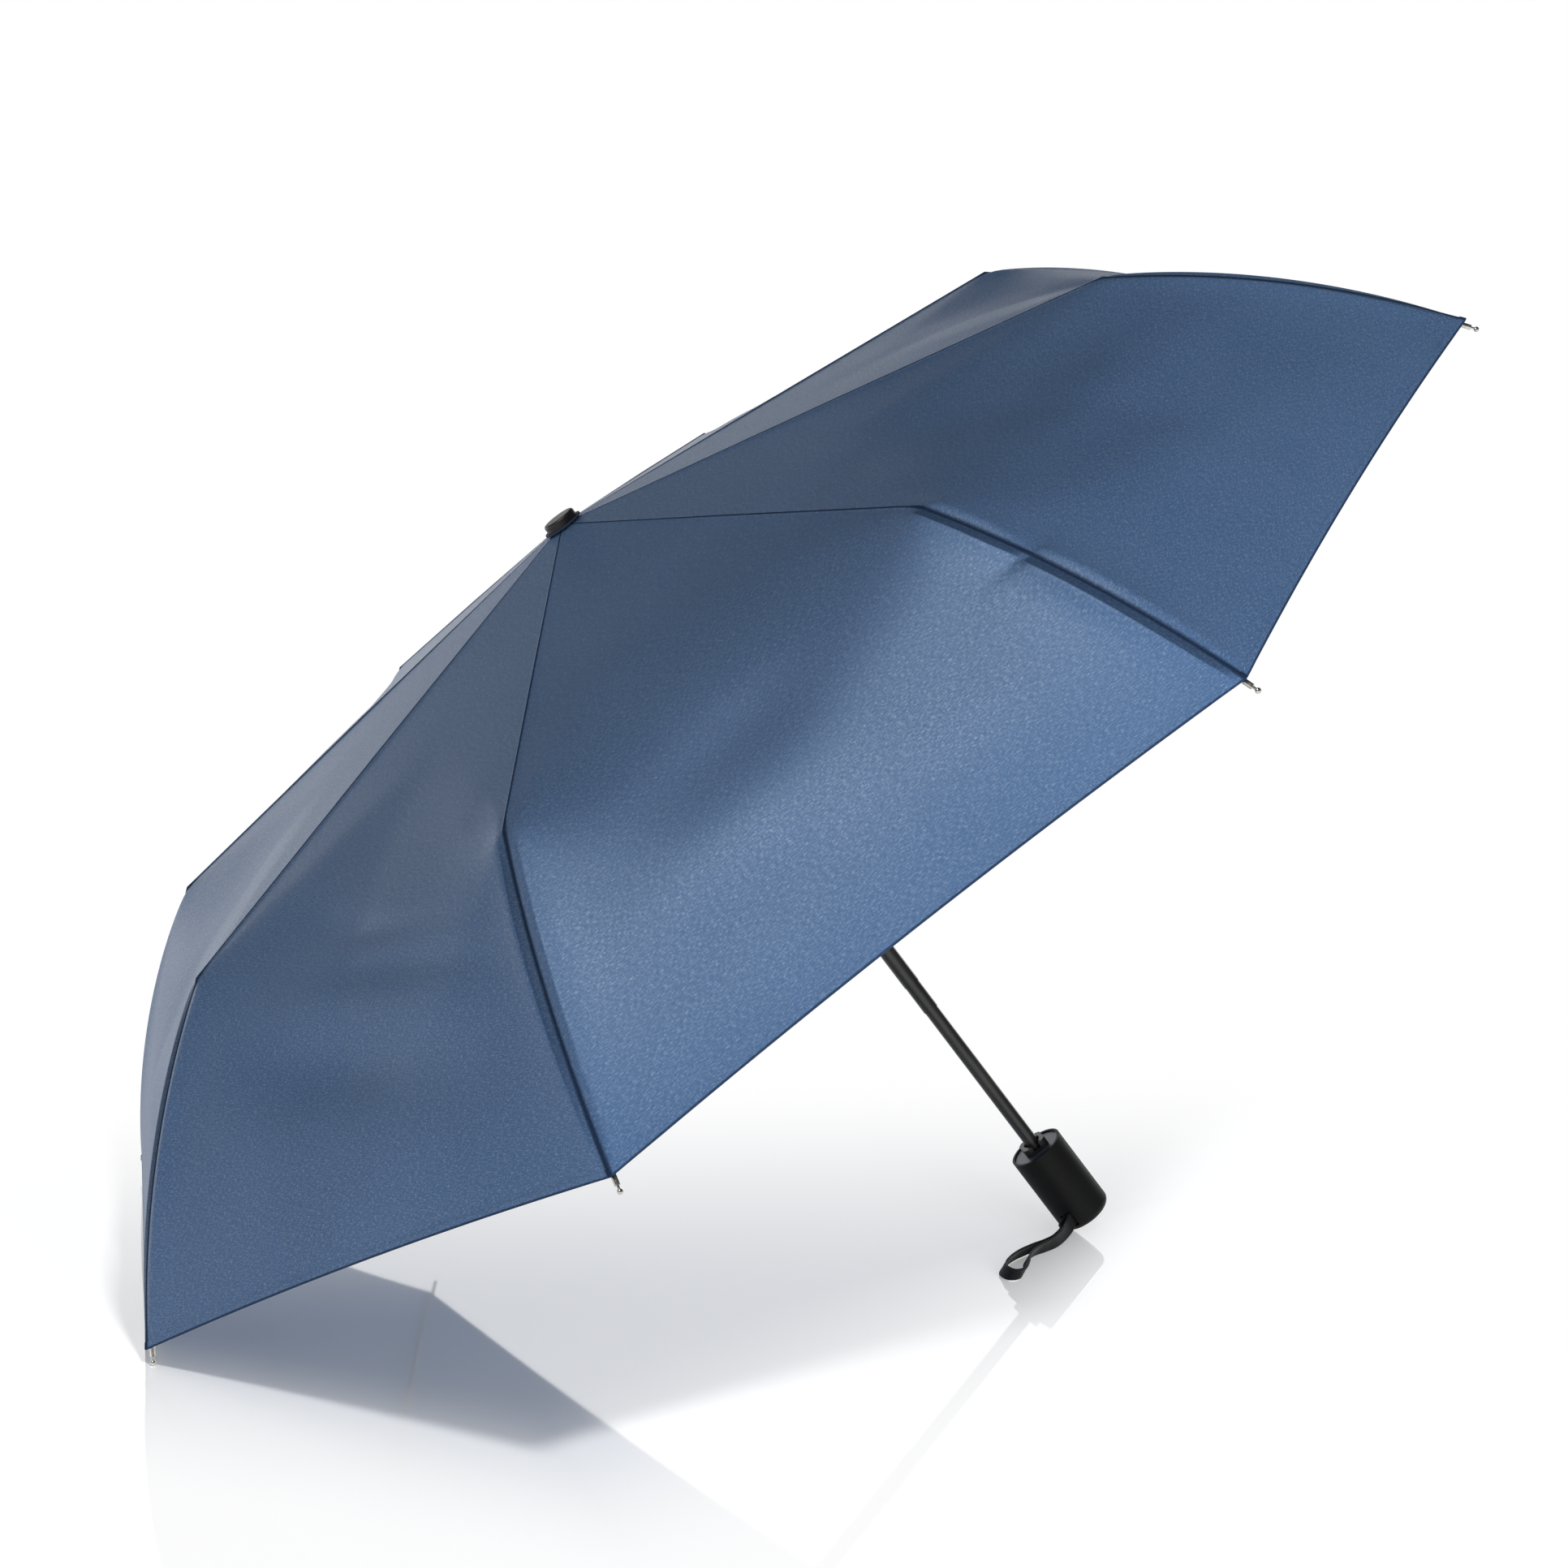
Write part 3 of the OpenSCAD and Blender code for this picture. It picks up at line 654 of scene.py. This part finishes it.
def cover_strip(rib, section):
    """The closed piece of cloth over one section of a rib, from mid gore to mid gore."""
    first, last = sections[section]
    height = last - first + 1
    width = 2 * COLUMNS + 1
    start = (rib - 1) * 2 * COLUMNS
    places, directions, seam, hem, folded = [], [], [], [], []
    for layer in (1, -1):
        for r in range(first, last + 1):
            for c in range(width):
                g = (start + c) % len(ring)
                point, reach, _, v, fold = grid[r][g]
                places.append(point + normals[r][g] * (layer * half_thickness(v)))
                directions.append(normals[r][g] * layer)
                seam.append(reach * (1 if v > 1 else UPPER_SEAM))
                hem.append((2 - v) * outer_length)
                folded.append(fold)
    under = height * width

    def spot(r, c):
        return r * width + c

    faces, weave = [], []
    for r in range(height - 1):
        for c in range(width - 1):
            corners = [(r, c), (r + 1, c), (r + 1, c + 1), (r, c + 1)]
            gore = rib if c >= COLUMNS else next_rib(rib, -1)
            sign = -1 if c >= COLUMNS else 1
            flat = []
            for cr, cc in corners:
                _, _, off, v, _ = grid[first + cr][(start + cc) % len(ring)]
                flat.append((gore + sign * off, run_length(v)))
            faces.append([spot(*corner) for corner in corners])
            weave += flat
            faces.append([under + spot(*corner) for corner in reversed(corners)])
            weave += reversed(flat)
    skin = len(faces)
    rim = [spot(0, c) for c in range(width)]
    rim += [spot(r, width - 1) for r in range(1, height)]
    rim += [spot(height - 1, c) for c in range(width - 2, -1, -1)]
    rim += [spot(r, 0) for r in range(height - 2, 0, -1)]
    for a, b in zip(rim, rim[1:] + rim[:1]):
        faces.append([a, b, under + b, under + a])
        weave += [(rib, 0)] * 4
    strip = new_object(f"cover_{section}_{rib}", places, faces)
    mesh = strip.data
    layer = mesh.uv_layers.new(name="weave")
    layer.data.foreach_set("uv", [value for corner in weave for value in corner])
    # The third layer holds how much painted shade a lip's wall gets.
    for name, values in (("from_seam", seam), ("from_hem", hem), ("painted_fold_shade", folded)):
        mesh.attributes.new(name, "FLOAT", "POINT").data.foreach_set("value", values)
    mesh.polygons.foreach_set("use_smooth", [k < skin for k in range(len(faces))])
    own_normal = Vector((0, 0, 0))
    loops = []
    for k, face in enumerate(faces):
        loops += [directions[v] if k < skin else own_normal for v in face]
    mesh.normals_split_custom_set(loops)
    mesh.materials.append(cloth_finish)
    return strip


def strip_area(rib, section):
    """Area of a strip's middle surface, and its widest width."""
    first, last = sections[section]
    start = (rib - 1) * 2 * COLUMNS
    area = 0
    for r in range(first, last):
        for c in range(start, start + 2 * COLUMNS):
            following = (c + 1) % len(ring)
            corner, below = grid[r][c][0], grid[r + 1][c][0]
            beside, far = grid[r][following][0], grid[r + 1][following][0]
            lower_half = (below - corner).cross(far - corner).length
            upper_half = (far - corner).cross(beside - corner).length
            area += (lower_half + upper_half) / 2
    edge = [grid[last][c % len(ring)][0] for c in range(start, start + 2 * COLUMNS + 1)]
    return area, sum((b - a).length for a, b in zip(edge, edge[1:]))


cover_area = 0
for rib in rib_numbers:
    for section, (first, last) in sections.items():
        strip = cover_strip(rib, section)
        body = f"{section}_{rib}"
        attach(strip, body)
        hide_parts("canopy")
        area, width = strip_area(rib, section)
        length = run_length(rows[last][0]) - run_length(rows[first][0])
        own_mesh(strip)
        cover_area += area
print("canopy:", RIBS * len(sections), "strips,", round(cover_area, 3), "square metres")

# %% [markdown]
# ## The wrist loop
#
# A flat ribbed ribbon comes out of a slot in the handle's side near its base, drops to the floor and
# lies there as a short loop, half on its edge, with its two runs side by side for the first half.
# The runs lean one way in the slot and the other way on the floor, so both are twisted.
# It could be dropped by a simulation, but the CAD ribbon already has its route, so that is repeated
# point by point: a place, and how far the ribbon's width leans from upright. A smooth curve through
# those points carries a thin rounded strip.

# %% Lay the ribbon
SHAFT_LENGTH, HINGE_DEPTH = 0.538, 0.0095
GRIP_RADIUS, GRIP_ROUND = 0.017, 0.005
SLOT_TURN, SLOT_UP = math.radians(-132), 0.009
RIBBON_WIDTH, RIBBON_THICK = 0.0078, 0.0012
RIBBON_STEPS = 10

base = crown - shaft_up * (SHAFT_LENGTH - HINGE_DEPTH)
lean = math.atan2(-shaft_up.x, shaft_up.z)
across_shaft = Vector((math.cos(lean), 0, math.sin(lean)))
rim = base - across_shaft * (GRIP_RADIUS - GRIP_ROUND) + shaft_up * GRIP_ROUND


def in_slot(out, aside):
    """A point of the ribbon in the slot: its distance from the shaft's line, and to one side."""
    turned = across_shaft * math.cos(SLOT_TURN) + Vector((0, math.sin(SLOT_TURN), 0))
    square = across_shaft * -math.sin(SLOT_TURN) + Vector((0, math.cos(SLOT_TURN), 0))
    return base + shaft_up * SLOT_UP + turned * out + square * aside, -lean


loop_mm = [
    (-9.5, -23.5, 4.5, -18), (-14, -31, 4.5, -5), (-20.5, -38, 4, 15), (-28.5, -44.5, 3.9, 28),
    (-38, -52, 3.9, 30), (-49, -63, 3.9, 30), (-58.5, -76.5, 3.9, 30), (-63.5, -89, 3.9, 30),
    (-61, -98.5, 3.9, 30), (-54, -96.5, 3.9, 30), (-48.5, -84.5, 3.9, 30), (-43, -68.5, 3.9, 30),
    (-34.5, -55, 3.9, 28), (-25.5, -46.8, 4, 15), (-17.5, -39.5, 4.6, -5), (-10.5, -30, 5.4, -18),
]
loop_points = []
for x, y, z, tilt in loop_mm:
    loop_points.append((Vector((x / 1000 + rim.x, y / 1000, z / 1000)), math.radians(tilt)))
slot_reach = [
    (GRIP_RADIUS - 0.0055, 0.0017),
    (GRIP_RADIUS + 0.0015, 0.0018),
    (GRIP_RADIUS + 0.0070, 0.0024),
]
route = [in_slot(out, -aside) for out, aside in slot_reach] + loop_points
route += [in_slot(out, aside) for out, aside in reversed(slot_reach)]


def smooth(values, k, t):
    """A point of the smooth curve through some values, a share t of the way from value k on."""
    a, b, c, d = (values[min(max(k + j, 0), len(values) - 1)] for j in (-1, 0, 1, 2))
    return (2 * b + (c - a) * t + (2 * a - 5 * b + 4 * c - d) * t**2 + (3 * b - a - 3 * c + d) * t**3) * 0.5


spans = [(k, s / RIBBON_STEPS) for k in range(len(route) - 1) for s in range(RIBBON_STEPS)]
spans.append((len(route) - 2, 1))
centres = [smooth([place for place, _ in route], k, t) for k, t in spans]
tilts = [smooth([tilt for _, tilt in route], k, t) for k, t in spans]
ribbon_length = sum((b - a).length for a, b in zip(centres, centres[1:]))
print("ribbon:", len(centres), "rings,", round(ribbon_length, 4), "m long")

# %% [markdown]
# The ribbon's cross-section is a flat strip with softly rounded edges and a raised selvedge along
# each side. A bevelled curve would be shorter to write, but it can't take its lean from a list, so the
# section is carried along the points in code. Both ends are closed and lie hidden in the handle.

# %% Sweep the ribbon
section_shape = [
    (-0.50, 0.00), (-0.49, 0.36), (-0.46, 0.50), (-0.40, 0.50), (-0.37, 0.40), (0.00, 0.42), (0.37, 0.40),
    (0.40, 0.50), (0.46, 0.50), (0.49, 0.36), (0.50, 0.00), (0.49, -0.36), (0.46, -0.50), (0.40, -0.50),
    (0.37, -0.40), (0.00, -0.42), (-0.37, -0.40), (-0.40, -0.50), (-0.46, -0.50), (-0.49, -0.36),
]


def swept(name, middles, frames, outline):
    """A closed strip: an outline of (wide, thick) pairs, carried along points with two directions."""
    count = len(outline)
    points = [m + wide * w + thick * t for m, (wide, thick) in zip(middles, frames) for w, t in outline]
    faces = []
    for k in range(len(middles) - 1):
        for q in range(count):
            a, b = k * count + q, k * count + (q + 1) % count
            faces.append((a, b, b + count, a + count))
    faces += [tuple(reversed(range(count))), tuple(range(len(points) - count, len(points)))]
    piece = new_object(name, points, faces)
    mesh = piece.data
    layer = mesh.uv_layers.new(name="weave")
    lengths = [0]
    for a, b in zip(middles, middles[1:]):
        lengths.append(lengths[-1] + (b - a).length)
    for loop in mesh.loops:
        k, q = divmod(loop.vertex_index, count)
        layer.data[loop.index].uv = (lengths[k], outline[q][0] * RIBBON_WIDTH)
    for polygon in mesh.polygons:
        polygon.use_smooth = True
    return piece


ribbon_frames = []
for k, tilt in enumerate(tilts):
    run = centres[min(k + 1, len(centres) - 1)] - centres[max(k - 1, 0)]
    wide = Vector((math.sin(tilt), 0, math.cos(tilt)))
    ribbon_frames.append((wide * RIBBON_WIDTH, run.cross(wide).normalized() * RIBBON_THICK))
ribbon = swept("wrist_ribbon", centres, ribbon_frames, section_shape)
print("made", ribbon.name, "with", len(ribbon.data.polygons), "faces")

# %% [markdown]
# ## Black finishes
#
# The handle is moulded in matte black with a fine spark-eroded grain, the plug in its end is dark grey,
# the collar and the crown are smoother, the shaft is lacquered and the ribbon is woven in fine ribs.
# Black is never quite flat: grain breaks up the highlights and handling polishes the skin a little, so
# roughness changes along with the colour.

# %% Ribbon, plastic and lacquer


def woven_ribbon(tap):
    flat = tap.node("ShaderNodeUVMap", {"uv_map": "weave"})
    wave = {"Vector": flat, "Scale": 260, "Distortion": 0.6, "Detail": 1}
    ribs = tap.node("ShaderNodeTexWave", {"bands_direction": "Y"}, wave)
    fuzz = tap.noise(tap.stretched(flat, (900, 2600, 1)), 1, 2)
    light = ribs * 0.7 + fuzz * 0.3
    return {
        "Base Color": light.tint((0.004, 0.004, 0.005), (0.020, 0.020, 0.022)),
        "Roughness": 0.85 - ribs * 0.25,
        "Normal": bumped(tap, light, 0.00025, 0.8),
    }


def moulded(dark, light, grain, rough, depth):
    """A builder for moulded plastic: grain is how many bumps lie in a metre."""

    def build(tap):
        place = object_place(tap)
        fine = tap.noise(place, grain, 2)
        handled = tap.noise(place, 38, 3)
        return {
            "Base Color": (fine * 0.6 + handled * 0.4).between(0.3, 0.7).tint(dark, light),
            "Roughness": rough + (fine - 0.5) * 0.18 + (handled - 0.5) * 0.16,
            "Normal": bumped(tap, fine, depth, 0.5),
        }

    return build


def lacquered(dark, light):
    """A builder for lacquered tube: faint drawing marks that run along the shaft."""

    def build(tap):
        place = object_place(tap)
        leaning = {"Vector": place, "Angle": lean}
        along_shaft = tap.node("ShaderNodeVectorRotate", {"rotation_type": "Y_AXIS"}, leaning)
        drawn = tap.noise(tap.stretched(along_shaft, (1, 1, 0.02)), 2600, 2)
        rubbed = tap.noise(tap.stretched(along_shaft, (1, 1, 0.25)), 90, 3)
        return {
            "Base Color": rubbed.between(0.35, 0.7).tint(dark, light),
            "Roughness": 0.32 + (drawn - 0.5) * 0.06 + (rubbed - 0.5) * 0.16,
            "Normal": bumped(tap, drawn, 0.00001, 0.2),
        }

    return build


ribbon_finish = finish(
    "woven_ribbon", woven_ribbon, Specular_IOR_Level=0.25, Sheen_Weight=0.2, Sheen_Roughness=0.4
)
grip_skin = moulded((0.003, 0.0031, 0.0031), (0.006, 0.0062, 0.0062), 2600, 0.50, 0.00008)
grip_finish = finish("matte_grip", grip_skin, Specular_IOR_Level=0.2)
plug_skin = moulded((0.100, 0.108, 0.115), (0.150, 0.160, 0.168), 1800, 0.38, 0.00004)
plug_finish = finish("grip_end", plug_skin)
black_skin = moulded((0.008, 0.008, 0.009), (0.017, 0.017, 0.018), 1500, 0.40, 0.00005)
black_plastic = finish("black_moulding", black_skin)
tube_skin = lacquered((0.012, 0.0118, 0.0108), (0.024, 0.0235, 0.0215))
tube_finish = finish("black_lacquer", tube_skin, Coat_Weight=0.3, Coat_Roughness=0.2)
print("black finishes: 5")

# %% [markdown]
# ## Metal finishes
#
# The tips are nickel plated, the ribs are tinned steel channel and the outer ribs are pale resin
# rods. Metal looks real when its roughness is uneven: faint drawing marks and a slight haze.

# %% Nickel, steel and rod


def metal(dark, light, rough):
    """A builder for a plated metal with a light haze."""

    def build(tap):
        place = object_place(tap)
        haze = tap.noise(place, 420, 4)
        marks = tap.noise(tap.stretched(place, (1, 1, 6)), 900, 2)
        return {
            "Base Color": haze.between(0.3, 0.7).tint(dark, light),
            "Roughness": rough + (haze - 0.5) * 0.25 + (marks - 0.5) * 0.12,
            "Normal": bumped(tap, marks, 0.00002, 0.3),
        }

    return build


nickel = finish("nickel_plate", metal((0.52, 0.50, 0.46), (0.72, 0.70, 0.66), 0.24), Metallic=1.0)
tinned = finish("tinned_steel", metal((0.42, 0.43, 0.45), (0.60, 0.61, 0.62), 0.34), Metallic=1.0)
spring_steel = finish("spring_steel", metal((0.34, 0.34, 0.35), (0.50, 0.50, 0.51), 0.30), Metallic=1.0)
rod_finish = finish("resin_rod", moulded((0.30, 0.31, 0.32), (0.42, 0.43, 0.44), 700, 0.36, 0.00003))
cap_cloth = finish("navy_washer", moulded((0.018, 0.033, 0.070), (0.034, 0.058, 0.115), 3200, 0.7, 0.0001))
print("metal finishes: 3, rod and washer: 2")

# %% [markdown]
# ## Dressing the CAD pieces
#
# The hard pieces keep their CAD shapes and only get a finish. Names of nodes start with the name of
# the piece, so one table is enough for all fifty-odd of them.

# %% Give each node its finish
node_finish = {
    "handle_grip": grip_finish,
    "handle_plug": plug_finish,
    "dock_collar": black_plastic,
    "lower_tube": tube_finish,
    "middle_tube": tube_finish,
    "upper_tube": tube_finish,
    "crown_hub": black_plastic,
    "crown_wire": spring_steel,
    "crown_washer": cap_cloth,
    "crown_cap": black_plastic,
    "runner": black_plastic,
    "runner_wire": spring_steel,
    "runner_button": black_plastic,
    "top_rib": tinned,
    "stretcher": tinned,
    "middle_rib": tinned,
    "outer_rib": rod_finish,
    "tip": nickel,
}
dressed = 0
for name, node in nodes.items():
    plain_name = name.rstrip("0123456789").rstrip("_")
    if plain_name not in node_finish:
        continue
    node.data.materials.clear()
    node.data.materials.append(node_finish[plain_name])
    dressed += 1
ribbon.data.materials.append(ribbon_finish)
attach(ribbon, "handle")
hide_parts("wrist_strap")
print("dressed", dressed, "of", len(nodes), "nodes")

# %% [markdown]
# ## What the rays see
#
# The photograph's background is plain white. A room that bright would wash the cloth out, so the white
# is shown only to rays from the camera and from mirroring or clear surfaces, and the lamps decide alone
# how bright the umbrella is.

# %% Tell the rays apart


def seen_or_mirrored(tap):
    """1 for a ray from the camera or from a mirroring or clear surface, 0 for one that only lights."""
    ray = tap.node("ShaderNodeLightPath").socket.node.outputs
    names = ("Is Camera Ray", "Is Glossy Ray", "Is Transmission Ray")
    camera_ray, glossy_ray, clear_ray = (Tap(tap.tree, ray[name]) for name in names)
    return tap.math("MAXIMUM", tap.math("MAXIMUM", camera_ray, glossy_ray), clear_ray)


print("rays: camera, gloss and glass see the white surroundings")

# %% [markdown]
# ## The floor
#
# The umbrella stands on glossy white acrylic, which mirrors the handle and the tips and takes the
# canopy's shadow. Away from the shadow it fades to plain white, by its place on the floor, so that it
# runs into the background without a horizon from any side. A curved backdrop would do that too, but
# it would have to turn with the view.

# %% Build the floor
FLOOR_HALF = 9.0
ACRYLIC, DIM_ACRYLIC = (0.93, 0.935, 0.94), (0.45, 0.45, 0.46)
SHADOW_TIP = (-0.16, -0.28)
SHADOW_LEFT, SHADOW_RIGHT = (0.6, 0.8), (0.7, 0.7)
FADE_FROM, FADE_TO, FADE_MOST = -0.02, 0.20, 0.88
FADE_FAR, FADE_FAR_END = -0.15, 0.40
FADE_SIDE, FADE_SIDE_END = 0.50, 1.10
FADE_ROUND, FADE_ROUND_END = 1.0, 1.5
FLOOR_ROUGHNESS, FLOOR_IOR = 0.03, 2.7


def whiteness(tap):
    """How far the floor has faded to plain white, for rays that see it or mirror it."""
    place = tap.node("ShaderNodeNewGeometry", None, None, out=0)
    apart = tap.node("ShaderNodeSeparateXYZ", None, {"Vector": place})
    x, y = apart, Tap(tap.tree, apart.socket.node.outputs[1])
    ahead = SHADOW_TIP[1] - y
    left = (SHADOW_TIP[0] - x) * SHADOW_LEFT[0] + ahead * SHADOW_LEFT[1]
    right = (x - SHADOW_TIP[0]) * SHADOW_RIGHT[0] + ahead * SHADOW_RIGHT[1]
    near = tap.math("MAXIMUM", left, right).between(FADE_FROM, FADE_TO) * FADE_MOST
    far = y.between(FADE_FAR, FADE_FAR_END)
    side = tap.math("ABSOLUTE", x).between(FADE_SIDE, FADE_SIDE_END)
    round_about = ((x * x + y * y) ** 0.5).between(FADE_ROUND, FADE_ROUND_END)
    along_y = tap.math("MAXIMUM", near, far)
    away = tap.math("MAXIMUM", along_y, tap.math("MAXIMUM", side, round_about))
    return away * seen_or_mirrored(tap)


corners = [(-1, -1), (1, -1), (1, 1), (-1, 1)]
floor_corners = [(x * FLOOR_HALF, y * FLOOR_HALF, 0) for x, y in corners]
floor = new_object("floor", floor_corners, [(0, 1, 2, 3)])
floor_material = bpy.data.materials.new("white_acrylic")
floor_material.use_nodes = True
floor_tap = Tap(floor_material.node_tree)
gloss = floor_material.node_tree.nodes["Principled BSDF"]
floor_ray = floor_tap.node("ShaderNodeLightPath").socket.node.outputs
acrylic = Tap(floor_tap.tree, floor_ray["Is Diffuse Ray"]).tint(ACRYLIC, DIM_ACRYLIC)
floor_tap.tree.links.new(acrylic.socket, gloss.inputs["Base Color"])
gloss.inputs["Roughness"].default_value = FLOOR_ROUGHNESS
gloss.inputs["IOR"].default_value = FLOOR_IOR
plain_white = floor_tap.node("ShaderNodeEmission", None, {"Color": (1, 1, 1, 1), "Strength": 1.0})
shaders = {0: whiteness(floor_tap), 1: Tap(floor_tap.tree, gloss.outputs[0]), 2: plain_white}
mixed = floor_tap.node("ShaderNodeMixShader", None, shaders)
floor_tap.tree.links.new(mixed.socket, floor_tap.tree.nodes["Material Output"].inputs["Surface"])
floor.data.materials.append(floor_material)
floor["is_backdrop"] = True
print("floor:", 2 * FLOOR_HALF, "m square")

# %% [markdown]
# ## The backdrop
#
# Cloth seen at a flat angle mirrors what stands behind it. In the photograph that is a white wall, and
# it gives the far gores their pale sheen. Here it is a low lit paper that only reflections show: the
# camera looks past it, and it lights nothing else. It is lower on the left, where the sheen stops.

# %% Hang the backdrop
BACKDROP_AWAY, BACKDROP_HALF = 1.5, 3.0
BACKDROP_LOW, BACKDROP_HIGH = 0.62, 1.0
SLOPE_LEFT, SLOPE_RIGHT = -0.6, 0.1
BACKDROP_STRENGTH = 1.5
sheet = [(-BACKDROP_HALF, 0), (BACKDROP_HALF, 0), (BACKDROP_HALF, BACKDROP_HIGH)]
sheet += [(SLOPE_RIGHT, BACKDROP_HIGH), (SLOPE_LEFT, BACKDROP_LOW), (-BACKDROP_HALF, BACKDROP_LOW)]
sheet_corners = [(x, BACKDROP_AWAY, z) for x, z in sheet]
backdrop = new_object("backdrop", sheet_corners, [range(len(sheet))])
backdrop_material = bpy.data.materials.new("lit_paper")
backdrop_material.use_nodes = True
paper = backdrop_material.node_tree.nodes["Principled BSDF"].inputs
paper["Base Color"].default_value = (0, 0, 0, 1)
paper["Emission Color"].default_value = (1, 1, 1, 1)
paper["Emission Strength"].default_value = BACKDROP_STRENGTH
backdrop.data.materials.append(backdrop_material)
backdrop.visible_camera = False
backdrop.visible_diffuse = False
backdrop.visible_shadow = False
backdrop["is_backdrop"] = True
print("backdrop:", BACKDROP_HIGH, "m high, for reflections only")

# %% [markdown]
# ## The light
#
# A soft box in front fills the near gores, and one behind on the left lights the far ones. A third,
# high on the left, shows only as sheen on the cloth. Two more light nothing but the floor, where the
# small one throws the canopy's shadow. One lamp could do it all, but then the depth of the shadow and
# the colour of the cloth could not be set apart.
# The room is pale below and darker above, because a bright ceiling would turn the cloth grey.

# %% Light the room
ROOM_LOW, ROOM_HIGH = 0.48, 0.26
ROOM_LEFT, DIM_FROM, DIM_TO = 0.50, -1, 0.4
WALL_LEVEL, CEILING_LEVEL = 0.5, 0.08
WALL_TOP, CEILING = 0.04, 0.20
LAMP_TARGET = Vector((0, 0, 0.22))


def lamp(name, place, size, power):
    """A square soft box that looks at the umbrella."""
    data = bpy.data.lights.new(name, "AREA")
    data.size = size
    data.energy = power
    made = bpy.data.objects.new(name, data)
    bpy.context.scene.collection.objects.link(made)
    made.location = place
    made.rotation_euler = (LAMP_TARGET - Vector(place)).to_track_quat("-Z", "Y").to_euler()
    return made


front_box = lamp("front_box", (0.50, -1.90, 0.35), 0.8, 21)
front_box.visible_glossy = False
rim_box = lamp("rim_box", (-1.30, 1.10, 1.55), 1.2, 8)
rim_box.visible_glossy = False
gloss_box = lamp("gloss_box", (-1.35, -0.94, 2.25), 1.0, 31)
gloss_box.visible_diffuse = False
floor_lamp = lamp("floor_lamp", (0.08, -1.75, 2.15), 0.20, 50)
floor_fill = lamp("floor_fill", (0.90, -1.60, 0.90), 1.2, 6)
lit_floor = bpy.data.collections.new("lit_floor")
lit_floor.objects.link(floor)
for only_floor in (floor_lamp, floor_fill):
    only_floor.light_linking.receiver_collection = lit_floor
world = bpy.data.worlds.new("white_room")
world.use_nodes = True
bpy.context.scene.world = world
sky = Tap(world.node_tree)
toward = sky.node("ShaderNodeSeparateXYZ", None, {"Vector": sky.node("ShaderNodeTexCoord")})
height = Tap(sky.tree, toward.socket.node.outputs["Z"])
walls = WALL_LEVEL + height.between(WALL_TOP, CEILING) * (CEILING_LEVEL - WALL_LEVEL)
to_right = ROOM_LEFT + toward.between(DIM_FROM, DIM_TO) * (1 - ROOM_LEFT)
room = (ROOM_LOW + height.between(0, 1) * (ROOM_HIGH - ROOM_LOW)) * to_right
seen = Tap(sky.tree, sky.node("ShaderNodeLightPath").socket.node.outputs["Is Camera Ray"])
mirrored = seen_or_mirrored(sky)
lit = room + mirrored * (walls - room)
level = lit + seen * (1 - lit)
background = world.node_tree.nodes["Background"]
background.inputs["Color"].default_value = (1, 1, 1, 1)
world.node_tree.links.new(level.socket, background.inputs["Strength"])
bpy.context.scene.view_settings.view_transform = "Standard"
print("light:", len(bpy.data.lights), "lamps in a white room")

# %% [markdown]
# ## Paper all round the floor
#
# Seen from another side, the glossy floor would mirror the dark ceiling in patches with hard edges.
# A wide ring of lit paper stands round it for the floor alone: light linking keeps its light off the
# umbrella, and its clear shader lets every other ray pass.

# %% Ring the floor
RING_RADIUS, RING_HEIGHT, RING_SIDES = 2.6, 1.3, 48
RING_STRENGTH = 1.5
turns = [2 * math.pi * k / RING_SIDES for k in range(RING_SIDES)]
ring_points = []
for z in (0, RING_HEIGHT):
    ring_points += [(RING_RADIUS * math.cos(turn), RING_RADIUS * math.sin(turn), z) for turn in turns]
ring_faces = []
for k in range(RING_SIDES):
    following = (k + 1) % RING_SIDES
    ring_faces.append((k, following, RING_SIDES + following, RING_SIDES + k))
paper_ring = new_object("paper_ring", ring_points, ring_faces)
ring_material = bpy.data.materials.new("clear_lit_paper")
ring_material.use_nodes = True
ring_tap = Tap(ring_material.node_tree)
glow = ring_tap.node("ShaderNodeEmission", None, {"Color": (1, 1, 1, 1), "Strength": RING_STRENGTH})
clear = ring_tap.node("ShaderNodeBsdfTransparent")
clear_glow = ring_tap.node("ShaderNodeAddShader", None, {0: clear, 1: glow})
ring_tap.tree.links.new(clear_glow.socket, ring_tap.tree.nodes["Material Output"].inputs["Surface"])
paper_ring.data.materials.append(ring_material)
paper_ring.visible_camera = False
paper_ring.visible_diffuse = False
paper_ring.visible_shadow = False
paper_ring.light_linking.receiver_collection = lit_floor
paper_ring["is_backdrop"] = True
print("ring:", 2 * RING_RADIUS, "m across, for the floor's reflections only")

# %% [markdown]
# ## Sizes
#
# The CAD model's box and the dressed model's box are printed side by side.

# %% Finish
dressed_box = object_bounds()
for title, (low, high) in (("CAD", cad_box), ("dressed", dressed_box)):
    print(title, "size:", [round(c, 4) for c in high - low])
